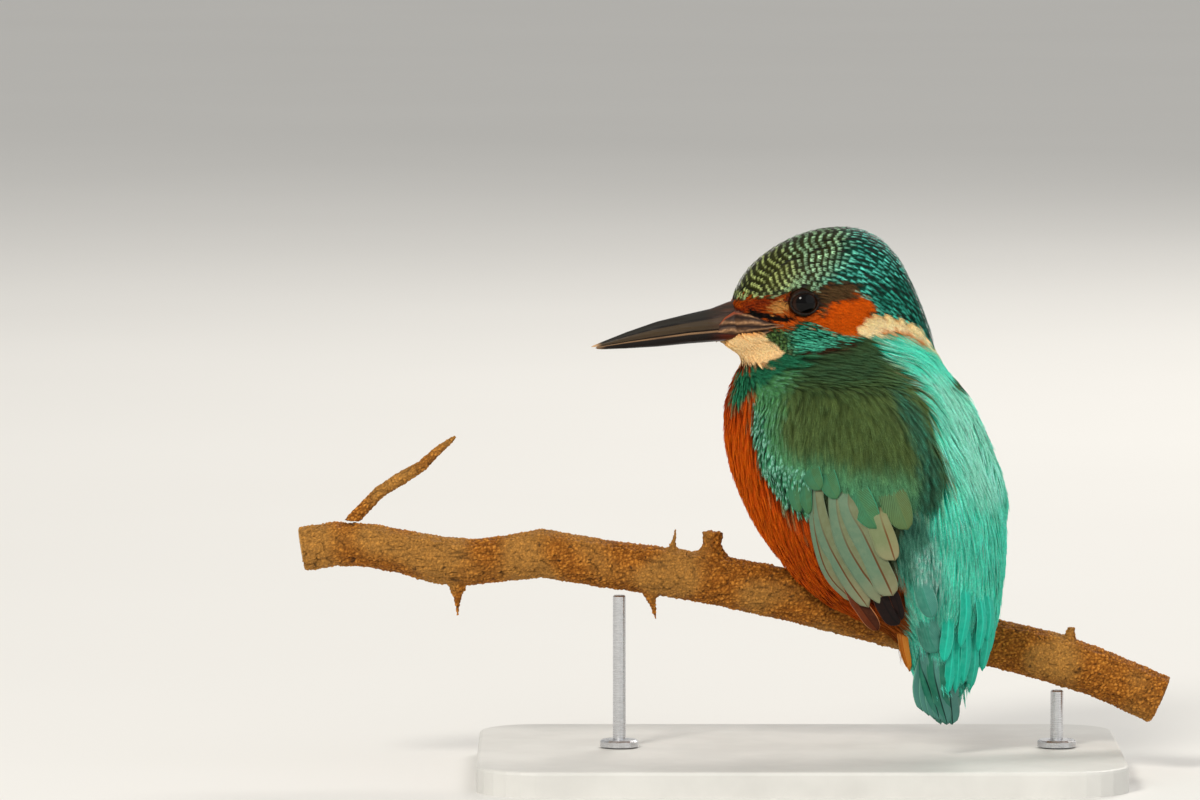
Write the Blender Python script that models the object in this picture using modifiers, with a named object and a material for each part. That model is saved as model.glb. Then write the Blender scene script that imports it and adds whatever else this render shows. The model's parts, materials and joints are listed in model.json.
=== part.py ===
"""A common kingfisher at life size, perched on a cut length of branch that a plain stand holds up.

The origin is the middle of the base's underside. +X runs along the branch, to the bird's tail side,
+Y runs away from the side the bird shows, and +Z is up. The bird's body turns its back and left side
towards -Y, and its head looks along -X.
"""

import math

import bmesh
import bpy
import numpy as np
from mathutils import Vector

MM = 0.001
GAP = 0.3 * MM  # clearance between pieces that touch

# Stand
BASE_LENGTH = 150 * MM
BASE_WIDTH = 100 * MM
BASE_HEIGHT = 6 * MM
BASE_CORNER = 14 * MM
BASE_EDGE = 0.8 * MM
ROD_RADIUS = 1.5 * MM
ROD_FOOT_RADIUS = 4.5 * MM
ROD_FOOT_HEIGHT = 1.6 * MM
ROD_PLACES = {"stand_rod_left": -42 * MM, "stand_rod_right": 60 * MM}

# Branch: x, height of its middle and radius, in millimetres. It lies in the plane y = 0.
BRANCH_STATIONS = (
    (-116, 52.4, 5.2),
    (-107, 53.8, 5.4),
    (-98, 53.0, 5.3),
    (-79, 49.3, 5.7),
    (-70, 50.1, 5.5),
    (-60, 51.6, 5.8),
    (-51, 49.9, 5.8),
    (-33, 47.4, 5.9),
    (-14, 44.2, 6.2),
    (5, 39.8, 6.1),
    (23, 35.0, 6.0),
    (42, 31.2, 5.9),
    (56, 27.9, 6.0),
    (70, 23.4, 5.9),
    (84, 17.2, 6.0),
)
BRANCH_SIDES = 14
BRANCH_RINGS = 26

# Side twig: x, y, height and radius along its middle, in millimetres
TWIG_STATIONS = (
    (-107.2, 0.0, 54.6, 2.3),
    (-103.6, 0.3, 59.8, 1.7),
    (-98.0, 0.8, 65.6, 1.5),
    (-92.0, 1.2, 69.4, 1.6),
    (-88.0, 1.0, 71.8, 1.4),
    (-83.8, 0.6, 75.8, 1.1),
    (-80.0, 0.2, 78.8, 0.45),
)
# Thorns and a broken stub: root and tip as x, y, height, then radius at root and tip, in millimetres
THORNS = (
    ((-79.6, 0, 46.5), (-79.7, -0.4, 36.8), 2.6, 0.35),
    ((-35.4, -1, 44.5), (-33.4, -1.5, 35.9), 2.1, 0.35),
    ((-30.2, -1, 50.0), (-28.8, -1.5, 57.4), 1.5, 0.3),
    ((-20.6, 0.5, 48.0), (-20.2, 0.5, 56.6), 3.0, 2.3),
    ((62.6, 0, 29.0), (63.4, 0, 34.2), 2.2, 1.0),
)

# Body sections: height, middle x and y, half depth along the heading, half width across it, heading.
# Millimetres and degrees: a heading of 0 faces -X and one of 90 faces +Y.
BODY_SECTIONS = (
    (18.5, 33.0, -18.9, 1.6, 3.0, 38),
    (22.0, 33.0, -18.2, 4.0, 7.0, 38),
    (26.0, 33.3, -17.4, 6.6, 9.2, 38),
    (30.0, 33.8, -16.5, 8.8, 10.2, 38),
    (34.0, 32.6, -15.7, 12.2, 11.6, 38),
    (38.0, 28.6, -14.7, 17.8, 15.2, 38),
    (41.5, 25.2, -13.7, 21.6, 18.2, 38),
    (46.0, 23.0, -12.3, 24.6, 20.6, 38),
    (53.0, 20.4, -10.5, 28.2, 23.0, 38),
    (58.0, 18.6, -9.3, 30.2, 24.2, 38),
    (64.5, 16.5, -7.8, 31.7, 24.8, 38),
    (70.0, 14.7, -6.5, 32.1, 25.0, 38),
    (76.0, 12.8, -5.0, 31.8, 24.8, 38),
    (82.5, 11.3, -3.5, 30.6, 23.8, 37),
    (87.5, 10.3, -2.2, 29.0, 21.8, 32),
    (92.0, 9.7, -0.8, 26.6, 18.6, 22),
    (97.0, 9.9, 0.8, 22.8, 14.6, 10),
    (101.0, 9.5, 1.9, 19.0, 11.6, 8),
    (105.0, 9.0, 2.5, 13.0, 8.0, 8),
)
BODY_SQUARENESS = 2.3  # exponent of the sections' superellipse
BODY_SIDES = 36
BODY_RINGS = 16  # below the shoulders
SHOULDER_HEIGHT = 84.0
SHOULDER_RINGS = 13  # above them, where the outline turns faster

# Head sections: x, height of the top and the bottom, half width, in millimetres
HEAD_SECTIONS = (
    (-16.2, 109.9, 101.2, 4.0),
    (-14.6, 114.3, 98.9, 6.2),
    (-12.0, 118.2, 96.8, 8.2),
    (-8.0, 121.8, 95.4, 9.8),
    (-3.0, 124.8, 95.4, 11.4),
    (3.0, 127.0, 95.6, 12.5),
    (9.3, 127.8, 95.4, 12.9),
    (14.5, 127.2, 95.0, 12.7),
    (19.0, 124.9, 94.6, 12.0),
    (23.0, 120.4, 94.2, 10.8),
    (26.2, 113.9, 94.0, 9.4),
    (28.8, 107.6, 93.8, 7.4),
    (30.9, 101.6, 93.6, 4.6),
)
HEAD_SQUARENESS = 2.2
HEAD_SIDES = 24
HEAD_RINGS = 15
HEAD_TURN = math.radians(8)  # the head looks this far from -X towards -Y
HEAD_MIDDLE = Vector((8 * MM, 2.5 * MM, 0))

# Cuts through the whole bird: height at x = 0, and the rise along +X
HEAD_CUT = (95.6 * MM, 0.06)
NECK_CUT = (90.0 * MM, 0.0)
TAIL_CUT = (35.5 * MM, 0.0)

EYE_RADIUS = 3.7 * MM
EYE_X = -0.8 * MM
EYE_HEIGHT = 110.6 * MM
EYE_DEPTH = 9.9 * MM  # from the head's middle plane to the eye's centre

# Bill: x, height of its ridge, height of the parting line, height of its keel, half width (millimetres)
BILL_STATIONS = (
    (-16.7, 109.6, 104.5, 101.1, 3.9),
    (-19.5, 109.2, 104.0, 100.9, 3.6),
    (-23.5, 108.4, 103.5, 100.5, 3.1),
    (-28.0, 107.4, 102.8, 99.9, 2.6),
    (-33.0, 105.9, 102.0, 99.4, 2.1),
    (-38.0, 104.2, 101.2, 99.2, 1.6),
    (-43.0, 102.4, 100.5, 99.1, 1.0),
    (-46.5, 101.1, 100.0, 99.2, 0.6),
)
BILL_TIP = (-48.6, 100.1, 99.5, 0.3)
BILL_RINGS = 9
BILL_SIDES = 9

# Folded wing: height, angle of its front edge and of its rear edge round the body, from the
# heading towards the wing's own side, in millimetres and degrees
WING_COVERTS = (
    (92.4, 90, 154),
    (90.2, 84, 163),
    (87.0, 79, 167),
    (76.0, 78, 165),
    (68.0, 82, 157),
    (62.5, 88, 146),
    (59.5, 97, 134),
)
WING_SECONDARIES = (
    (59.0, 87, 134),
    (54.0, 86, 134),
    (49.0, 85, 130),
    (44.5, 89, 124),
    (42.2, 96, 117),
)
WING_PRIMARIES = (
    (41.8, 84, 115),
    (39.0, 90, 115),
    (36.0, 99, 112),
    (34.6, 102, 109),
)
WING_THICKNESS = 1.1 * MM
WING_STAND_OFF = 0.45 * MM  # from the body's surface to the wing's underside
WING_TOP_LIFT = 0.07  # how far it lifts for each unit of height above the shoulder
WING_FOLD_HEIGHT = 50 * MM  # below this the wing hangs free of the narrowing body
WING_DRIFT = (0.25, -0.17, -0.29, -0.23)  # change of middle x, middle y, depth, width per unit below it
RIGHT_TIP_SWING = 18  # degrees by which the right wing's tip lies further back, clear of the branch
RIGHT_TIP_HEIGHT = 34 * MM

# Tail: a fan of feathers as one thin blade
TAIL_MIDDLE = Vector((33.2 * MM, -16.6 * MM, 35.0 * MM))
TAIL_DOWN = Vector((0.02, -0.085, -0.996)).normalized()
TAIL_OUTLINE = ((0, 17.0), (5, 18.2), (10, 17.8), (14, 15.6), (18, 11.6), (20.6, 7.0), (21.9, 2.4))
TAIL_THICKNESS = 1.0 * MM
TAIL_CAMBER = 9.0  # metres of sag for each square metre across

# Legs and feet: place along the branch, then the toes' spread
LEG_PLACES = {"left": 8.5 * MM, "right": 21.0 * MM}
LEG_RADIUS = 1.2 * MM
LEG_LENGTH = 6.5 * MM
TOE_RADIUS = 0.8 * MM
TOE_TIP_RADIUS = 0.55 * MM
TOES = {  # shift along the branch, lean along it, and sweep over it in degrees from the top
    "inner": (-1.9 * MM, -0.9 * MM, 58),
    "middle": (0.0, 0.0, 76),
    "outer": (1.6 * MM, 0.2 * MM, 68),
    "hind": (0.0, 0.2 * MM, -58),
}
CLAW_LENGTH = 2.6 * MM
CLAW_RADIUS = 0.42 * MM
BELLY_CLEARANCE = 2.3 * MM  # from the branch to the belly, which leaves room for the toes

COLOURS = {  # red, green, blue, roughness, metallic
    "orange": (0.60, 0.20, 0.03, 0.8, 0.0),
    "turquoise": (0.06, 0.55, 0.45, 0.6, 0.0),
    "green": (0.04, 0.22, 0.16, 0.7, 0.0),
    "brown": (0.12, 0.07, 0.04, 0.7, 0.0),
    "blue": (0.04, 0.24, 0.25, 0.6, 0.0),
    "bill": (0.015, 0.013, 0.012, 0.35, 0.0),
    "eye": (0.01, 0.006, 0.004, 0.05, 0.0),
    "foot": (0.55, 0.12, 0.05, 0.6, 0.0),
    "bark": (0.42, 0.24, 0.09, 0.9, 0.0),
    "base": (0.72, 0.72, 0.70, 0.5, 0.0),
    "steel": (0.62, 0.62, 0.62, 0.3, 1.0),
}


def clear_scene():
    for scene_object in list(bpy.data.objects):
        bpy.data.objects.remove(scene_object, do_unlink=True)


def new_collection(name):
    collection = bpy.data.collections.new(name)
    bpy.context.scene.collection.children.link(collection)
    return collection


clear_scene()
PARTS = new_collection("kingfisher")
CUTTERS = new_collection("cutters")


def material(name):
    """The material of this name, made on first use."""
    found = bpy.data.materials.get(name)
    if found:
        return found
    made = bpy.data.materials.new(name)
    made.use_nodes = True
    red, green, blue, roughness, metallic = COLOURS[name]
    shader = made.node_tree.nodes["Principled BSDF"]
    shader.inputs["Base Color"].default_value = (red, green, blue, 1)
    shader.inputs["Roughness"].default_value = roughness
    shader.inputs["Metallic"].default_value = metallic
    return made


def add_object(name, bm, colour, collection=PARTS):
    """Turns a bmesh into an object, and frees it."""
    mesh = bpy.data.meshes.new(name)
    bm.to_mesh(mesh)
    bm.free()
    mesh.shade_smooth()
    mesh.set_sharp_from_angle(angle=math.radians(50))
    made = bpy.data.objects.new(name, mesh)
    collection.objects.link(made)
    if colour:
        mesh.materials.append(material(colour))
    if collection is CUTTERS:
        made.hide_render = True
        made.display_type = "WIRE"
    return made


def smooth(stations, at):
    """The row of a table at a value of its first column, on a smooth curve through its rows."""
    table = np.array(stations, float)
    keys = table[:, 0]
    if keys[0] > keys[-1]:
        table = table[::-1]
        keys = table[:, 0]
    slopes = np.gradient(table, keys, axis=0)
    at = min(max(at, keys[0]), keys[-1])
    low = min(int(np.searchsorted(keys, at, side="right")) - 1, len(keys) - 2)
    span = keys[low + 1] - keys[low]
    t = (at - keys[low]) / span
    row = table[low] * (1 + 2 * t) * (1 - t) ** 2
    row += slopes[low] * span * t * (1 - t) ** 2
    row += table[low + 1] * t * t * (3 - 2 * t)
    row += slopes[low + 1] * span * t * t * (t - 1)
    return row.tolist()


def loft(rings):
    """A closed bmesh through rings of the same number of points, with flat ends."""
    bm = bmesh.new()
    loops = [[bm.verts.new(point) for point in ring] for ring in rings]
    for low, high in zip(loops, loops[1:]):
        for side in range(len(low)):
            following = (side + 1) % len(low)
            bm.faces.new((low[side], low[following], high[following], high[side]))
    bm.faces.new(loops[0])
    bm.faces.new(loops[-1])
    bmesh.ops.recalc_face_normals(bm, faces=bm.faces)
    bmesh.ops.triangulate(bm, faces=[face for face in bm.faces if len(face.verts) > 4])
    return bm


def tube(points, radii, sides):
    """A round bar of changing radius along a path."""
    rings = []
    across = Vector((0, 1, 0))
    for index, (point, radius) in enumerate(zip(points, radii)):
        before = points[max(index - 1, 0)]
        after = points[min(index + 1, len(points) - 1)]
        along = (after - before).normalized()
        across = (across - along * across.dot(along)).normalized()
        upward = along.cross(across)
        turns = [2 * math.pi * side / sides for side in range(sides)]
        rings.append([point + radius * (math.cos(t) * across + math.sin(t) * upward) for t in turns])
    return loft(rings)


def cut(target, *cutters, operation="DIFFERENCE"):
    """Applies EXACT Booleans to an object and keeps its place and materials."""
    for cutter in cutters:
        modifier = target.modifiers.new("cut", "BOOLEAN")
        modifier.operation = operation
        modifier.object = cutter
    bpy.context.view_layer.update()
    evaluated = target.evaluated_get(bpy.context.evaluated_depsgraph_get())
    mesh = bpy.data.meshes.new_from_object(evaluated)
    target.modifiers.clear()
    target.data = mesh
    return target


def between(source, name, colour, low=None, high=None):
    """A copy of an object between two planes, each a point and a normal that points up."""
    bm = bmesh.new()
    bm.from_mesh(source.data)
    for plane, upper in ((low, False), (high, True)):
        if plane is None:
            continue
        point, normal = plane
        bmesh.ops.bisect_plane(
            bm,
            geom=bm.verts[:] + bm.edges[:] + bm.faces[:],
            dist=1e-7,
            plane_co=point,
            plane_no=normal,
            clear_outer=upper,
            clear_inner=not upper,
        )
        rim = [edge for edge in bm.edges if edge.is_boundary]
        bmesh.ops.holes_fill(bm, edges=rim)
    bmesh.ops.triangulate(bm, faces=[face for face in bm.faces if len(face.verts) > 4])
    bmesh.ops.recalc_face_normals(bm, faces=bm.faces)
    return add_object(name, bm, colour)


# ---- the bird's surfaces


def body_section(z):
    """Middle, half depth, half width and heading of the body at a height."""
    _, x, y, depth, width, heading = smooth(BODY_SECTIONS, z / MM)
    return Vector((x, y)) * MM, depth * MM, width * MM, math.radians(heading)


def wing_section(z):
    """As body_section, for the surface that the folded wing lies on."""
    middle, depth, width, heading = body_section(max(z, WING_FOLD_HEIGHT))
    below = max(WING_FOLD_HEIGHT - z, 0)
    drift_x, drift_y, drift_depth, drift_width = (rate * below for rate in WING_DRIFT)
    return middle + Vector((drift_x, drift_y)), depth + drift_depth, width + drift_width, heading


def round_point(section, z, angle, stand_off=0.0):
    """A point on a section at an angle from its heading towards the bird's left."""
    middle, depth, width, heading = section
    forward = Vector((-math.cos(heading), math.sin(heading)))
    left = Vector((-forward.y, forward.x))
    power = 2 / BODY_SQUARENESS
    cosine, sine = math.cos(angle), math.sin(angle)
    along = math.copysign(abs(cosine) ** power, cosine) * (depth + stand_off)
    across = math.copysign(abs(sine) ** power, sine) * (width + stand_off)
    flat = middle + forward * along + left * across
    return Vector((flat.x, flat.y, z))


def body_loft():
    """The trunk, neck and tail coverts as one closed form."""
    lower = np.linspace(BODY_SECTIONS[0][0], SHOULDER_HEIGHT, BODY_RINGS)
    upper = np.linspace(SHOULDER_HEIGHT, BODY_SECTIONS[-1][0], SHOULDER_RINGS)
    heights = [float(z) * MM for z in (*lower, *upper[1:])]
    angles = [2 * math.pi * side / BODY_SIDES for side in range(BODY_SIDES)]
    return loft([[round_point(body_section(z), z, angle) for angle in angles] for z in heights])


def head_axes():
    forward = Vector((-math.cos(HEAD_TURN), -math.sin(HEAD_TURN), 0))
    left = Vector((math.sin(HEAD_TURN), -math.cos(HEAD_TURN), 0))
    return forward, left


def head_point(x, across, z):
    """A point of the head from its x, its distance left of the middle plane, and its height."""
    forward, left = head_axes()
    along = (x - HEAD_MIDDLE.x) / forward.x
    middle = HEAD_MIDDLE + forward * along
    return Vector((middle.x, middle.y, z)) + left * across


def head_loft():
    """The head as one closed form, from the bill's root to the nape."""
    first, last = HEAD_SECTIONS[0][0], HEAD_SECTIONS[-1][0]
    # Rings crowd towards both ends, where the outline turns fastest.
    shares = [(1 - math.cos(math.pi * step / HEAD_RINGS)) / 2 for step in range(HEAD_RINGS + 1)]
    places = [first + (last - first) * share for share in shares]
    power = 2 / HEAD_SQUARENESS
    rings = []
    for place in places:
        _, top, bottom, width = smooth(HEAD_SECTIONS, place)
        ring = []
        for side in range(HEAD_SIDES):
            turn = 2 * math.pi * side / HEAD_SIDES
            cosine, sine = math.cos(turn), math.sin(turn)
            across = math.copysign(abs(cosine) ** power, cosine) * width
            height = (top + bottom) / 2 + math.copysign(abs(sine) ** power, sine) * (top - bottom) / 2
            ring.append(head_point(place * MM, across * MM, height * MM))
        rings.append(ring)
    return loft(rings)


# ---- the branch


def branch_section(x):
    """Middle height and radius of the branch at an x."""
    _, height, radius = smooth(BRANCH_STATIONS, x / MM)
    return height * MM, radius * MM


def branch_stretch(x):
    """How much longer than the radius the branch's half height is, where it slopes."""
    slope = (branch_section(x + MM)[0] - branch_section(x - MM)[0]) / (2 * MM)
    return math.sqrt(1 + slope * slope)


def branch_bar(swell=0.0):
    """The branch's bare bar, grown by swell all round."""
    first, last = BRANCH_STATIONS[0][0] * MM - swell, BRANCH_STATIONS[-1][0] * MM + swell
    points, radii = [], []
    for x in np.linspace(first, last, BRANCH_RINGS):
        height, radius = branch_section(x)
        points.append(Vector((x, 0, height)))
        radii.append(radius + swell)
    return tube(points, radii, BRANCH_SIDES)


def thorn(root, tip, root_radius, tip_radius):
    """A spine that flares where it leaves the bark."""
    start, end = Vector(root) * MM, Vector(tip) * MM
    shares = (0.0, 0.35, 0.55, 1.0)
    flares = (1.0, 0.75, 0.38, 0.0)
    radii = [(tip_radius + (root_radius - tip_radius) * flare) * MM for flare in flares]
    return tube([start.lerp(end, share) for share in shares], radii, 8)


def make_perch():
    branch = add_object("perch_branch", branch_bar(), "bark")
    thorns = [add_object(f"thorn_{index}", thorn(*sizes), None, CUTTERS) for index, sizes in enumerate(THORNS)]
    cut(branch, *thorns, operation="UNION")
    clearance = add_object("branch_clearance", branch_bar(GAP), None, CUTTERS)
    points = [Vector(station[:3]) * MM for station in TWIG_STATIONS]
    radii = [station[3] * MM for station in TWIG_STATIONS]
    twig = add_object("perch_twig", tube(points, radii, 10), "bark")
    cut(twig, clearance)
    for helper in thorns + [clearance]:
        bpy.data.objects.remove(helper, do_unlink=True)


# ---- the bird's pieces


def plane_at(cut_line, offset):
    height, rise = cut_line
    normal = Vector((-rise, 0, 1)).normalized()
    return Vector((0, 0, height)) + normal * offset, normal


def tail_axes():
    """Directions down the tail, across it to the bird's left, and out of its upper side."""
    heading = math.radians(BODY_SECTIONS[0][-1])
    left = Vector((-math.sin(heading), -math.cos(heading), 0))
    down = TAIL_DOWN
    left = (left - down * left.dot(down)).normalized()
    return down, left, left.cross(down)


def make_body():
    """Parts the whole bird with thin cuts into head, neck, trunk and the coverts round the tail."""
    whole = add_object("whole_bird", body_loft(), "orange", CUTTERS)
    head_form = add_object("head_form", head_loft(), None, CUTTERS)
    cut(whole, head_form, operation="UNION")
    half = GAP / 2
    head = between(whole, "head", "green", low=plane_at(HEAD_CUT, half))
    between(whole, "neck", "green", plane_at(NECK_CUT, half), plane_at(HEAD_CUT, -half))
    trunk = between(whole, "trunk", "orange", plane_at(TAIL_CUT, half), plane_at(NECK_CUT, -half))
    below = between(whole, "below_trunk", "orange", high=plane_at(TAIL_CUT, -half))
    _, _, out = tail_axes()
    slot = TAIL_THICKNESS / 2 + GAP * 2
    upper = between(below, "tail_coverts_upper", "turquoise", low=(TAIL_MIDDLE + out * slot, out))
    under = between(below, "tail_coverts_under", "orange", high=(TAIL_MIDDLE - out * slot * 1.8, out))
    room = add_object("toe_room", branch_bar(BELLY_CLEARANCE), None, CUTTERS)
    for piece in (trunk, under, upper):
        cut(piece, room)
    for helper in (whole, head_form, below, room):
        bpy.data.objects.remove(helper, do_unlink=True)
    return head, trunk


def make_tail():
    bm = bmesh.new()
    bmesh.ops.create_grid(bm, x_segments=6, y_segments=8, size=0.5)
    down, left, out = tail_axes()
    length = TAIL_OUTLINE[-1][0]
    for vert in bm.verts:
        along = (vert.co.y + 0.5) * length
        width = smooth(TAIL_OUTLINE, along)[1] * MM
        across = vert.co.x * width
        sag = TAIL_CAMBER * across * across
        vert.co = TAIL_MIDDLE + down * along * MM + left * across - out * sag
    tail = add_object("tail", bm, "blue")
    thicken(tail, TAIL_THICKNESS, 0)


def thicken(shell, thickness, offset):
    solidify = shell.modifiers.new("thickness", "SOLIDIFY")
    solidify.thickness = thickness
    solidify.offset = offset


def make_wing_piece(side_name, piece_name, outline, colour, columns, rows):
    """One layer of a folded wing, as a thin shell over the body's side."""
    side = 1 if side_name == "left" else -1
    bm = bmesh.new()
    bmesh.ops.create_grid(bm, x_segments=columns, y_segments=rows, size=0.5)
    top, bottom = outline[0][0], outline[-1][0]
    swing_rate = 0 if side > 0 else RIGHT_TIP_SWING / (WING_FOLD_HEIGHT - RIGHT_TIP_HEIGHT)
    for vert in bm.verts:
        z, front, rear = smooth(outline, top + (bottom - top) * (vert.co.y + 0.5))
        z *= MM
        swing = swing_rate * max(WING_FOLD_HEIGHT - z, 0)
        angle = side * math.radians(front + (rear - front) * (vert.co.x + 0.5) + swing)
        stand_off = WING_STAND_OFF + WING_TOP_LIFT * max(z - SHOULDER_HEIGHT * MM, 0)
        vert.co = round_point(wing_section(z), z, angle, stand_off)
    if side < 0:
        bmesh.ops.reverse_faces(bm, faces=bm.faces)
    # The grid's faces point at the body, so its thickness grows away from them.
    thicken(add_object(f"wing_{side_name}_{piece_name}", bm, colour), WING_THICKNESS, -1)


def make_wings():
    for side in ("left", "right"):
        make_wing_piece(side, "coverts", WING_COVERTS, "green", 9, 9)
        make_wing_piece(side, "secondaries", WING_SECONDARIES, "blue", 6, 6)
        make_wing_piece(side, "primaries", WING_PRIMARIES, "brown", 4, 6)


def ball(name, radius, centre, colour, collection=PARTS):
    bm = bmesh.new()
    bmesh.ops.create_uvsphere(bm, u_segments=16, v_segments=10, radius=radius)
    bmesh.ops.translate(bm, verts=bm.verts, vec=centre)
    return add_object(name, bm, colour, collection)


def make_eyes(head):
    for side, name in ((1, "left"), (-1, "right")):
        centre = head_point(EYE_X, side * EYE_DEPTH, EYE_HEIGHT)
        ball(f"eye_{name}", EYE_RADIUS, centre, "eye")
        socket = ball(f"socket_{name}", EYE_RADIUS + GAP, centre, None, CUTTERS)
        cut(head, socket)
        bpy.data.objects.remove(socket, do_unlink=True)


def mandible(name, top_column, bottom_column, tip_x, tip_heights, rounded_top):
    """Half of the bill: a flat face at the parting line, and a round back."""
    first = BILL_STATIONS[0][0]
    rings = []
    for step in range(BILL_RINGS + 1):
        share = step / BILL_RINGS
        x = first + (tip_x - first) * share
        row = smooth(BILL_STATIONS, x)
        top, bottom, width = row[top_column], row[bottom_column], row[4]
        if step == BILL_RINGS:
            top, bottom = tip_heights
            width = BILL_TIP[3]
        if rounded_top:
            bottom += GAP / MM / 2
        else:
            top -= GAP / MM / 2
        ring = []
        for side in range(BILL_SIDES):
            turn = math.pi * side / (BILL_SIDES - 1)
            across = math.cos(turn) * width
            rise = abs(math.sin(turn)) ** 0.8
            height = bottom + (top - bottom) * rise if rounded_top else top - (top - bottom) * rise
            ring.append(head_point(x * MM, across * MM, height * MM))
        rings.append(ring)
    add_object(name, loft(rings), "bill")


def make_bill():
    tip_x, tip_top, tip_bottom, _ = BILL_TIP
    mandible("bill_upper", 1, 2, tip_x, (tip_top, tip_bottom), True)
    mandible("bill_lower", 2, 3, tip_x + 1.6, (tip_bottom + 0.2, tip_bottom - 0.5), False)


def toe_path(place, shift, lean, sweep, clearance, start_share=0.0, end_share=1.0, steps=6):
    """Points of an arc over the branch, at a clearance above its bark."""
    points = []
    for step in range(steps):
        share = start_share + (end_share - start_share) * step / (steps - 1)
        turn = math.radians(sweep) * share
        x = place + shift * min(1, 0.35 + share) + lean * share
        height, radius = branch_section(x)
        reach = (radius + clearance) * branch_stretch(x)
        points.append(Vector((x, reach * math.sin(turn), height + reach * math.cos(turn))))
    return points


def make_leg(side, trunk):
    """A tarsus that goes up into the belly, a foot of four toes and their claws."""
    place = LEG_PLACES[side]
    height, radius = branch_section(place)
    sole = height + (radius + GAP) * branch_stretch(place)
    foot = None
    extra_toes = []
    for name, (shift, lean, sweep) in TOES.items():
        points = toe_path(place, shift, lean, sweep, GAP + TOE_RADIUS)
        radii = [TOE_RADIUS + (TOE_TIP_RADIUS - TOE_RADIUS) * step / 5 for step in range(6)]
        bm = tube(points, radii, 7)
        if foot is None:
            foot = add_object(f"foot_{side}", bm, "foot")
        else:
            extra_toes.append(add_object(f"toe_{name}", bm, None, CUTTERS))
        make_claw(f"claw_{side}_{name}", place, shift, lean, sweep)
    pad = ball("pad", TOE_RADIUS * 1.4, Vector((place, 0, sole + TOE_RADIUS * 1.7)), None, CUTTERS)
    cut(foot, *extra_toes, pad, operation="UNION")
    ankle = sole + TOE_RADIUS * 3.1 + GAP
    bm = bmesh.new()
    bmesh.ops.create_cone(
        bm, cap_ends=True, segments=12, radius1=LEG_RADIUS * 0.9, radius2=LEG_RADIUS, depth=LEG_LENGTH
    )
    bmesh.ops.translate(bm, verts=bm.verts, vec=(place, 0, ankle + LEG_LENGTH / 2))
    add_object(f"leg_{side}", bm, "foot")
    bm = bmesh.new()
    depth = LEG_LENGTH + 3 * TOE_RADIUS
    bmesh.ops.create_cone(
        bm, cap_ends=True, segments=12, radius1=TOE_RADIUS * 2.4, radius2=LEG_RADIUS + GAP, depth=depth
    )
    bmesh.ops.translate(bm, verts=bm.verts, vec=(place, 0, ankle + LEG_LENGTH + GAP - depth / 2))
    pocket = add_object("leg_pocket", bm, None, CUTTERS)
    cut(trunk, pocket)
    for helper in extra_toes + [pad, pocket]:
        bpy.data.objects.remove(helper, do_unlink=True)


def make_claw(name, place, shift, lean, sweep):
    """A hooked claw that carries a toe's arc on past its tip."""
    height, radius = branch_section(place)
    reach = radius + GAP + TOE_TIP_RADIUS
    skip = (GAP + 0.02 * MM) / (reach * math.radians(abs(sweep)))
    length = CLAW_LENGTH / (reach * math.radians(abs(sweep)))
    points = toe_path(place, shift, lean, sweep, GAP + TOE_TIP_RADIUS, 1 + skip, 1 + skip + length, 4)
    radii = [CLAW_RADIUS, CLAW_RADIUS * 0.85, CLAW_RADIUS * 0.6, CLAW_RADIUS * 0.3]
    add_object(name, tube(points, radii, 6), "bill")


# ---- the stand


def make_stand():
    bm = bmesh.new()
    bmesh.ops.create_cube(bm, size=1)
    bmesh.ops.scale(bm, verts=bm.verts, vec=(BASE_LENGTH, BASE_WIDTH, BASE_HEIGHT))
    upright = [edge for edge in bm.edges if abs(edge.verts[0].co.z - edge.verts[1].co.z) > BASE_HEIGHT / 2]
    bmesh.ops.bevel(bm, geom=upright, offset=BASE_CORNER, affect="EDGES", segments=6, profile=0.5)
    rim = [edge for edge in bm.edges if min(vert.co.z for vert in edge.verts) > BASE_HEIGHT * 0.49]
    bmesh.ops.bevel(bm, geom=rim, offset=BASE_EDGE, affect="EDGES", segments=2, profile=0.5)
    bmesh.ops.translate(bm, verts=bm.verts, vec=(0, 0, BASE_HEIGHT / 2))
    bmesh.ops.triangulate(bm, faces=[face for face in bm.faces if len(face.verts) > 4])
    add_object("stand_base", bm, "base")
    for name, place in ROD_PLACES.items():
        make_rod(name, place)


def make_rod(name, place):
    """A turned rod with a round foot, from the base up to the branch."""
    height, radius = branch_section(place)
    low = BASE_HEIGHT + GAP
    top = height - radius * branch_stretch(place) - ROD_RADIUS * 0.5 - GAP
    profile = ((0, top), (ROD_RADIUS * 0.8, top), (ROD_RADIUS, top - ROD_RADIUS * 0.2))
    profile += ((ROD_RADIUS, low + ROD_FOOT_HEIGHT), (ROD_FOOT_RADIUS * 0.9, low + ROD_FOOT_HEIGHT))
    profile += ((ROD_FOOT_RADIUS, low + ROD_FOOT_HEIGHT * 0.75), (ROD_FOOT_RADIUS, low), (0, low))
    bm = bmesh.new()
    verts = [bm.verts.new((x, 0, z)) for x, z in profile]
    for first, second in zip(verts, verts[1:]):
        bm.edges.new((first, second))
    rod = add_object(name, bm, "steel")
    rod.location.x = place
    screw = rod.modifiers.new("turn", "SCREW")
    screw.steps = screw.render_steps = 20
    screw.use_merge_vertices = True
    screw.merge_threshold = 1e-5


make_stand()
make_perch()
head, trunk = make_body()
make_tail()
make_wings()
make_eyes(head)
make_bill()
for leg_side in LEG_PLACES:
    make_leg(leg_side, trunk)
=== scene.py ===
import json
import math

import bmesh
import bpy
import numpy as np
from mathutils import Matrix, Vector, noise
from mathutils.bvhtree import BVHTree

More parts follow.
